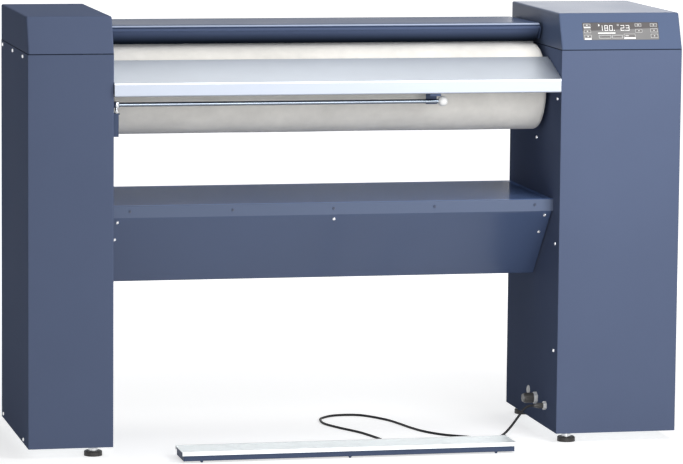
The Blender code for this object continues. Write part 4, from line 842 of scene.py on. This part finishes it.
def make_roller_felt():
    """The padding: a thick felt sleeve with rounded ends, under the cloth."""
    inner = felt_outer - felt_thickness
    end_at = roller_half - felt_end_gap
    end = [(-end_at, inner), (-end_at, felt_outer - felt_edge)]
    end += [
        (-end_at + felt_edge - felt_edge * cos(turn), felt_outer - felt_edge + felt_edge * sin(turn))
        for turn in (pi / 8, pi / 4, 3 * pi / 8, pi / 2)
    ]
    span = 2 * (end_at - felt_edge)
    flat = [(-end_at + felt_edge + span * index / felt_rows, felt_outer) for index in range(1, felt_rows)]
    profile = end + flat + [(-along, radius) for along, radius in reversed(end)]
    shape = bmesh.new()
    points = [(along, 0, radius) for along, radius in profile]
    spin_line(shape, points, (1, 0, 0), felt_sides, closed=True)
    around_roller(shape)
    felt = finish_piece("roller_felt", shape, roller_needlefelt, "roller", "roller_padding")
    write_unrolled_map(felt.data, felt_outer)


make_cord()
make_roller_felt()
make_roller_cover()


# Screws of the casings, the shelf and the apron

to_left, to_right, to_front = (-1, 0, 0), (1, 0, 0), (0, -1, 0)
screw_radius = 0.0042
painted_share = 0.8
screw_height = 0.0026
screw_sink = 0.0003
screw_sides = 16
# Radius and height of a pan head with its turned-in recess, in shares of its own
screw_head = ((0, 0.55), (0.30, 0.60), (0.36, 0.97), (0.62, 1), (0.86, 0.82), (1, 0.38))
apron_front = (-0.123, 0.5506)
apron_foot = (0.0384, 0.3804)
right_face_screws = ((-0.1476, 0.8192), (0.0309, 0.7106), (-0.1459, 0.4749), (-0.1477, 0.2193))
left_face_screws = ((-0.1459, 0.4749), (-0.1477, 0.2193))
side_screws = (
    (0.2524, 0.9264), (0.0766, 0.9256), (-0.0929, 0.9254), (0.2484, 0.0355), (-0.0986, 0.0338),
)
flange_screws = (-0.532, -0.2897, -0.0492, 0.1937, 0.4378)
flange_z = 0.5657
apron_screws = (
    (-0.5607, 0.5397), (-0.0468, 0.5397), (0.4652, 0.5397), (-0.5602, 0.4945), (0.4631, 0.4945),
)


def add_pan_screw(shape, place, facing, radius=screw_radius):
    """A pan head, its foot just under the sheet."""
    profile = [(radius * wide, screw_height * high) for wide, high in screw_head]
    profile += [(radius, -screw_sink), (0, -screw_sink)]
    add_turned(shape, profile, place, facing, screw_sides)


def make_screws():
    bright = bmesh.new()
    for y, z in right_face_screws:
        add_pan_screw(bright, (right_inner_x, y, z), to_left)
    for y, z in left_face_screws:
        add_pan_screw(bright, (left_inner_x, y, z), to_right)
    back, drop = apron_foot[0] - apron_front[0], apron_front[1] - apron_foot[1]
    lean = atan2(back, drop)
    for x, z in apron_screws:
        share = (apron_front[1] - z) / drop
        y = apron_front[0] + share * back
        add_pan_screw(bright, (x, y, z), (0, -cos(lean), -sin(lean)))
    for y, z in side_screws:
        add_pan_screw(bright, (left_x, y, z), to_left)
        add_pan_screw(bright, (-left_x, y, z), to_right)
    finish_piece("bright_screws", bright, screw_steel, "root")
    painted = bmesh.new()
    for x in flange_screws:
        add_pan_screw(painted, (x, apron_front[0], flange_z), to_front, screw_radius * painted_share)
    finish_piece("painted_screws", painted, screw_paint, "root")


# Glands and blanking plug on the right column's inner face

plug_place = (right_inner_x, 0.0726, 0.0894)
small_gland_place = (right_inner_x, -0.0838, 0.0766)
large_gland_place = (right_inner_x, 0.001, 0.0816)
nut_chamfer = 0.14
knurl_count = 24
# Nuts: radius and height. Grips: radius, start, end and depth of the knurls
small_nut = (0.0105, 0.008)
small_grip = (0.0068, 0.0079, 0.0185, 0.0004)
large_nut = (0.0145, 0.009)
large_grip = (0.0122, 0.0089, 0.0290, 0.0006)
# Profiles: radius and height
small_sleeve = (
    (0.0034, 0.0184), (0.0060, 0.0184), (0.0062, 0.0200), (0.0054, 0.0222),
    (0.0044, 0.0260), (0.0038, 0.0300), (0.0031, 0.0300), (0.0031, 0.0190), (0.0034, 0.0184),
)
large_collar = ((0, 0.0289), (0.0112, 0.0289), (0.0115, 0.0300), (0.0106, 0.0325), (0, 0.0325))
large_disc = (
    (0, 0.0324), (0.0095, 0.0324), (0.0095, 0.0350), (0.0085, 0.0360),
    (0.0055, 0.0360), (0.0050, 0.0350), (0, 0.0350),
)
plug_head = (
    (0, 0.0048), (0.0040, 0.0046), (0.0078, 0.0036), (0.0102, 0.0020), (0.0110, 0.0006),
    (0.0110, 0.0001), (0.0060, 0.0001), (0.0060, -0.0040), (0, -0.0040),
)


def make_nut(name, place, radius, height):
    """A six-sided white nut with turned-off corners, its face on the panel."""
    shape = bmesh.new()
    bmesh.ops.create_cone(
        shape, cap_ends=True, segments=6, radius1=radius, radius2=radius, depth=height,
        matrix=Matrix.Translation((0, 0, height / 2)),
    )
    top = [edge for edge in shape.edges if all(vert.co.z > height / 2 for vert in edge.verts)]
    bmesh.ops.bevel(
        shape, geom=top, offset=height * nut_chamfer, segments=2, profile=0.5, affect="EDGES", material=-1,
    )
    stand_at(shape, set(), place, to_left)
    finish_piece(name, shape, white_moulding, "root")


def make_grip(place, radius, low, high, depth):
    """A grip with straight knurls, drawn as a toothed ring and raised."""
    shape = bmesh.new()
    ring = []
    for index in range(knurl_count * 2):
        reach = radius - (depth if index % 2 else 0)
        turn = pi * index / knurl_count
        ring.append(shape.verts.new((reach * cos(turn), reach * sin(turn), low)))
    face = shape.faces.new(ring)
    raised = bmesh.ops.extrude_face_region(shape, geom=[face])["geom"]
    moved = [item for item in raised if isinstance(item, bmesh.types.BMVert)]
    bmesh.ops.translate(shape, vec=(0, 0, high - low), verts=moved)
    stand_at(shape, set(), place, to_left)
    return shape


def make_small_gland():
    """White nut, dark knurled body and a rubber sleeve that lets the cord out."""
    make_nut("small_gland_nut", small_gland_place, *small_nut)
    body = make_grip(small_gland_place, *small_grip)
    add_turned(body, small_sleeve, small_gland_place, to_left, sleeve_sides)
    finish_piece("small_gland_body", body, gland_moulding, "root", "cable_gland_small")


def make_large_gland():
    """White nut, dark knurled body and a grey end disc for the supply, which is not plugged in."""
    make_nut("large_gland_nut", large_gland_place, *large_nut)
    body = make_grip(large_gland_place, *large_grip)
    add_turned(body, large_collar, large_gland_place, to_left, turned_sides)
    finish_piece("large_gland_body", body, gland_moulding, "root", "cable_gland_large")
    disc = bmesh.new()
    add_turned(disc, large_disc, large_gland_place, to_left, turned_sides)
    finish_piece("large_gland_disc", disc, grey_moulding, "root")


def make_plug():
    plug = bmesh.new()
    add_turned(plug, plug_head, plug_place, to_left, turned_sides)
    finish_piece("hole_plug", plug, white_moulding, "root", "blanking_plug")


# Laundry rail with its knuckle and ball

rail_x, rail_y, rail_z = -0.5685, -0.149, 0.817
rail_radius = 0.005
rail_start = rail_x - 0.0034
rail_end = 0.2032
rail_edge = 0.0006
ball_x = 0.2030
ball_radius = 0.0122
ball_throat = rail_radius + 0.0003
ball_inset = 0.0005
ball_steps = 20
ear_top = 0.797
knuckle_top = rail_z + 0.007
# Radius and height of the knuckle's block, measured down from its top
knuckle_block = (
    (0, 0), (0.0055, 0), (0.0070, 0.0006), (0.0075, 0.0020), (0.0075, 0.0125), (0.0068, 0.0140),
    (0.0030, 0.0140),
)
# Radius and height of its washer and pin, measured up from the bracket's ear
knuckle_pin = (
    (0.0030, 0.0044), (0.0040, 0.0043), (0.0048, 0.0036), (0.0048, 0.0003), (0.0030, 0.0003),
    (0.0030, -0.0060), (0, -0.0060),
)


def make_rail():
    rod = bmesh.new()
    length = rail_end - rail_start
    profile = [
        (0, 0), (rail_radius - rail_edge, 0), (rail_radius, rail_edge), (rail_radius, length - rail_edge),
        (rail_radius - rail_edge, length), (0, length),
    ]
    add_turned(rod, profile, (rail_start, rail_y, rail_z), to_right, turned_sides)
    finish_piece("rail_rod", rod, rail_chrome, "rail", "laundry_rail")
    ball = bmesh.new()
    first = atan2(ball_throat, (ball_radius ** 2 - ball_throat ** 2) ** 0.5)
    arc = [first + (pi - first) * index / ball_steps for index in range(ball_steps)]
    profile = [(0, -ball_inset), (ball_throat, -ball_inset)]
    profile += [(ball_radius * sin(turn), -ball_radius * cos(turn)) for turn in arc]
    profile.append((0, ball_radius))
    add_turned(ball, profile, (ball_x, rail_y, rail_z), to_right, ball_sides)
    finish_piece("rail_knob", ball, white_moulding, "rail", "rail_ball")
    knuckle = bmesh.new()
    profile = [(radius, knuckle_top - down) for radius, down in knuckle_block]
    profile += [(radius, ear_top + up) for radius, up in knuckle_pin]
    add_turned(knuckle, profile, (rail_x, rail_y, 0), (0, 0, 1), turned_sides)
    finish_piece("rail_pivot", knuckle, knuckle_steel, "rail", "rail_knuckle")


# Print on the control panel: places in millimetres, across from the panel's left
# edge and up its slope from its lower edge, as low across, high across, low up, high up

panel_left = 0.5375
panel_low = 0.0247
print_lift = 0.00012
print_skin = 0.00016
print_corner = 0.0004
slope = atan2(hood_height, hood_setback)
keys = (
    (2.5, 19.2, 32.5, 40.0), (2.8, 19.5, 17.3, 25.6), (3.2, 20.0, 4.9, 12.4),
    (165.5, 182.4, 32.2, 39.9), (165.5, 182.6, 18.3, 27.2), (165.5, 182.8, 4.2, 13.6),
    (128.2, 144.0, 32.6, 39.9), (128.7, 145.3, 17.6, 26.0),
)
key_border = 0.8
key_mark = (1.6, 1.4)
lit_bars = ((3.0, 19.4, 29.3, 31.2), (3.0, 19.4, 0.9, 3.6), (36.5, 79.4, 15.7, 17.7))
gauges = ((38.0, 67.5), (70.2, 96.0))
gauge_up = (3.6, 11.8)
gauge_border = 0.9
gauge_bar_up = (6.4, 9.0)
gauge_bar_ends = (7, 3)
chosen_field = (99.4, 127.4, 2.0, 14.4)
chosen_mark = (103.0, 111.0, 8.6, 10.8)
chosen_bar = (100.2, 127.0, 2.4, 5.4)
sign_tick = (38.6, 41.2, 33.8, 38.2)
sign_ring = (84.4, 88.6, 34.6, 38.6)
display_stops = ((75.8, 77.8, 22.4, 24.4), (102.9, 104.2, 22.4, 24.2))
digit_up = (22.4, 35.8)
digits = (
    ("1", 45.6, 48.4), ("8", 53.6, 61.4), ("0", 65.2, 73.0), ("2", 93.0, 101.6), ("3", 105.6, 114.0),
)
digit_bars = {"1": "bc", "8": "abcdefg", "0": "abcdef", "2": "abged", "3": "abgcd"}
bar_width = 1.0


def on_panel():
    """The panel's own space: across, up the slope, and out of it, in metres."""
    up = Vector((0, cos(slope), sin(slope)))
    out = Vector((0, -sin(slope), cos(slope)))
    turn = Matrix((Vector((1, 0, 0)), up, out)).transposed().to_4x4()
    return Matrix.Translation(Vector((panel_left, front_y, seam_z)) + up * panel_low) @ turn


def add_patch(shape, u_low, u_high, v_low, v_high, layer=0):
    """A printed patch; a higher layer lies over a lower one."""
    base = print_lift + layer * print_skin
    low = (u_low / 1000, v_low / 1000, base)
    add_plate(shape, low, (u_high / 1000, v_high / 1000, base + print_skin), on_panel(), print_corner)


def add_digit(shape, digit, u_low, u_high):
    """A lit digit of up to seven bars."""
    v_low, v_high = digit_up
    middle = (v_low + v_high) / 2
    bars = {
        "a": (u_low, u_high, v_high - bar_width, v_high),
        "g": (u_low, u_high, middle - bar_width / 2, middle + bar_width / 2),
        "d": (u_low, u_high, v_low, v_low + bar_width),
        "f": (u_low, u_low + bar_width, middle, v_high),
        "b": (u_high - bar_width, u_high, middle, v_high),
        "e": (u_low, u_low + bar_width, v_low, middle),
        "c": (u_high - bar_width, u_high, v_low, middle),
    }
    for name in digit_bars[digit]:
        add_patch(shape, *bars[name], 1)


def add_field(pale, dark, u_low, u_high, v_low, v_high):
    """A field: a pale outline, and a darker face within it."""
    add_patch(pale, u_low, u_high, v_low, v_high)
    inner = (u_low + key_border, u_high - key_border, v_low + key_border, v_high - key_border)
    add_patch(dark, *inner, 1)


def add_gauge(pale, dark, low, high):
    """A gauge: four pale edges and a dark bar."""
    bottom, top = gauge_up
    add_patch(pale, low, high, bottom, bottom + gauge_border)
    add_patch(pale, low, high, top - gauge_border, top)
    add_patch(pale, low, low + gauge_border, bottom, top)
    add_patch(pale, high - gauge_border, high, bottom, top)
    add_patch(dark, low + gauge_bar_ends[0], high - gauge_bar_ends[1], *gauge_bar_up)


def make_panel_print():
    pale, dark, lit = bmesh.new(), bmesh.new(), bmesh.new()
    for key in keys:
        add_field(pale, dark, *key)
        u, v = (key[0] + key[1]) / 2, (key[2] + key[3]) / 2
        add_patch(pale, u - key_mark[0], u + key_mark[0], v - key_mark[1], v + key_mark[1], 2)
    for gauge in gauges:
        add_gauge(pale, dark, *gauge)
    for field in (chosen_field, sign_ring):
        add_field(pale, dark, *field)
    add_patch(pale, *chosen_mark, 2)
    add_patch(lit, *chosen_bar, 2)
    for bar in (*lit_bars, sign_tick, *display_stops):
        add_patch(lit, *bar, 1)
    for digit in digits:
        add_digit(lit, *digit)
    finish_piece("panel_outlines", pale, pale_print, "root")
    finish_piece("panel_fields", dark, dark_print, "root")
    finish_piece("panel_figures", lit, lit_print, "root")


make_screws()
make_small_gland()
make_large_gland()
make_plug()
make_rail()
make_panel_print()


# Finishes of the frame's own pieces

finishes = (
    (slate_coat, (
        "left_casing", "left_side_panel", "left_hood", "right_casing", "right_inner_panel", "rear_crossbeam",
    )),
    (right_hood_coat, ("right_hood",)),
    (apron_coat, ("shelf_apron",)),
    (perforated_coat, ("shelf_top",)),
    (hood_coat, ("trough_hood",)),
    (guard_coat, ("finger_guard",)),
    (bar_coat, ("footbar_base", "footbar_end_left", "footbar_end_right", "rail_bracket", "rail_clip")),
    (table_alloy, ("feed_table",)),
    (treadle_alloy, ("footbar_treadle",)),
    (rail_chrome, ("laundry_rail",)),
    (white_moulding, ("rail_ball", "blanking_plug")),
    (knuckle_steel, ("rail_knuckle",)),
    (foot_rubber, (
        "levelling_foot_front_left", "levelling_foot_rear_left", "levelling_foot_front_right",
        "levelling_foot_rear_right",
    )),
    (black_moulding, ("footbar_switch", "footbar_gland")),
    (gland_moulding, ("cable_gland_small", "cable_gland_large")),
    (panel_glass, ("control_panel",)),
    (board_lacquer, ("control_board",)),
    (zinc_sheet, (
        "left_base_frame", "right_base_frame", "left_frame_plate", "right_frame_plate",
        "shelf_bracket_left", "shelf_bracket_right", "trough_arm_left", "trough_arm_right", "lift_rod",
    )),
    (cast_iron, ("bearing_left", "bearing_right", "gearmotor", "lift_motor")),
    (cast_alloy, ("heated_trough",)),
    (turned_steel, (
        "arm_pin_left", "arm_pin_right", "roller_tube", "roller_end_left", "roller_end_right",
        "roller_gear", "drive_pinion", "heater_rod_upper", "heater_rod_lower",
    )),
)

for finish, names in finishes:
    for name in names:
        for slot in nodes[name].material_slots:
            slot.material = finish


# The folded sheet's edges, rounded as the press brake leaves them

fold_radius = 0.0012
fold_angle = radians(50)
folded_sheets = (
    "left_casing", "left_side_panel", "left_hood", "right_casing", "right_inner_panel", "right_hood",
    "shelf_top", "shelf_apron", "feed_table", "trough_hood", "footbar_treadle",
)

for name in folded_sheets:
    fold = nodes[name].modifiers.new("folded_edge", "BEVEL")
    fold.width = fold_radius
    fold.segments = 2
    fold.limit_method = "ANGLE"
    fold.angle_limit = fold_angle
    fold.harden_normals = True


# Floor, backdrop and light

floor_half = 20
floor_grey = (0.66, 0.66, 0.66)
floor_roughness = 0.9
floor_specular = 0.1
floor_lift = 0.64
floor_fade = (1.0, 2.6)
white = (1, 1, 1, 1)
ambient_colour = (0.93, 0.96, 1, 1)
ambient_level = 0.25
# Name, place, aim, width, height and power
softboxes = (
    ("overhead_softbox", (0.3, -0.1, 3.2), (0.0, 0.0, 0.8), 2.6, 1.6, 33),
    ("front_softbox", (0.5, -5.2, 1.0), (0.0, 0.0, 0.6), 1.8, 2.0, 106),
    ("right_softbox", (0.82, -1.4, 1.45), (0.55, -0.1, 0.80), 0.5, 0.6, 15),
    ("left_softbox", (-2.3, 0.05, 0.75), (-0.8, 0.05, 0.7), 0.8, 0.8, 1),
    ("rear_softbox", (2.1, 3.0, 1.3), (0.5, 0.0, 0.9), 1.8, 1.4, 9),
)


def seen_plainly(tree):
    """1 for the rays by which the camera, metal and glass see the studio."""
    seen = add_node(tree, "ShaderNodeLightPath").outputs
    through = maths(tree, "MAXIMUM", seen["Is Glossy Ray"], seen["Is Transmission Ray"])
    return maths(tree, "MAXIMUM", seen["Is Camera Ray"], through)


def make_floor():
    """A plain pale floor that keeps the machine's shadow and runs out into white."""
    shape = bmesh.new()
    bmesh.ops.create_grid(shape, x_segments=1, y_segments=1, size=floor_half)
    data = bpy.data.meshes.new("studio_floor")
    shape.to_mesh(data)
    shape.free()
    paper, tree, shader, place = start_finish("studio_paper", floor_grey, floor_roughness)
    away = add_node(tree, "ShaderNodeVectorMath", {0: place}, operation="LENGTH").outputs["Value"]
    lift = scaled_range(tree, away, *floor_fade, floor_lift, 1.0)
    dress(tree, shader, {
        "Specular IOR Level": floor_specular, "Emission Color": white,
        "Emission Strength": maths(tree, "MULTIPLY", seen_plainly(tree), lift),
    })
    data.materials.append(paper)
    floor = bpy.data.objects.new("studio_floor", data)
    scene.collection.objects.link(floor)


def make_world():
    """White behind the machine, for the camera, metal and glass, and a dimmer fill on it."""
    world = bpy.data.worlds.new("studio")
    world.use_nodes = True
    tree = world.node_tree
    tree.nodes.clear()
    backdrop = add_node(tree, "ShaderNodeBackground", {"Color": white, "Strength": 1.0})
    ambient = add_node(tree, "ShaderNodeBackground", {"Color": ambient_colour, "Strength": ambient_level})
    both = {0: seen_plainly(tree), 1: ambient.outputs[0], 2: backdrop.outputs[0]}
    mixed = add_node(tree, "ShaderNodeMixShader", both)
    add_node(tree, "ShaderNodeOutputWorld", {"Surface": mixed.outputs[0]})
    scene.world = world


def add_softbox(name, place, aim, width, height, power):
    lamp = bpy.data.lights.new(name, "AREA")
    lamp.shape = "RECTANGLE"
    lamp.size = width
    lamp.size_y = height
    lamp.energy = power
    softbox = bpy.data.objects.new(name, lamp)
    softbox.location = place
    softbox.rotation_euler = (Vector(place) - Vector(aim)).to_track_quat("Z", "Y").to_euler()
    scene.collection.objects.link(softbox)


make_floor()
make_world()
for softbox in softboxes:
    add_softbox(*softbox)
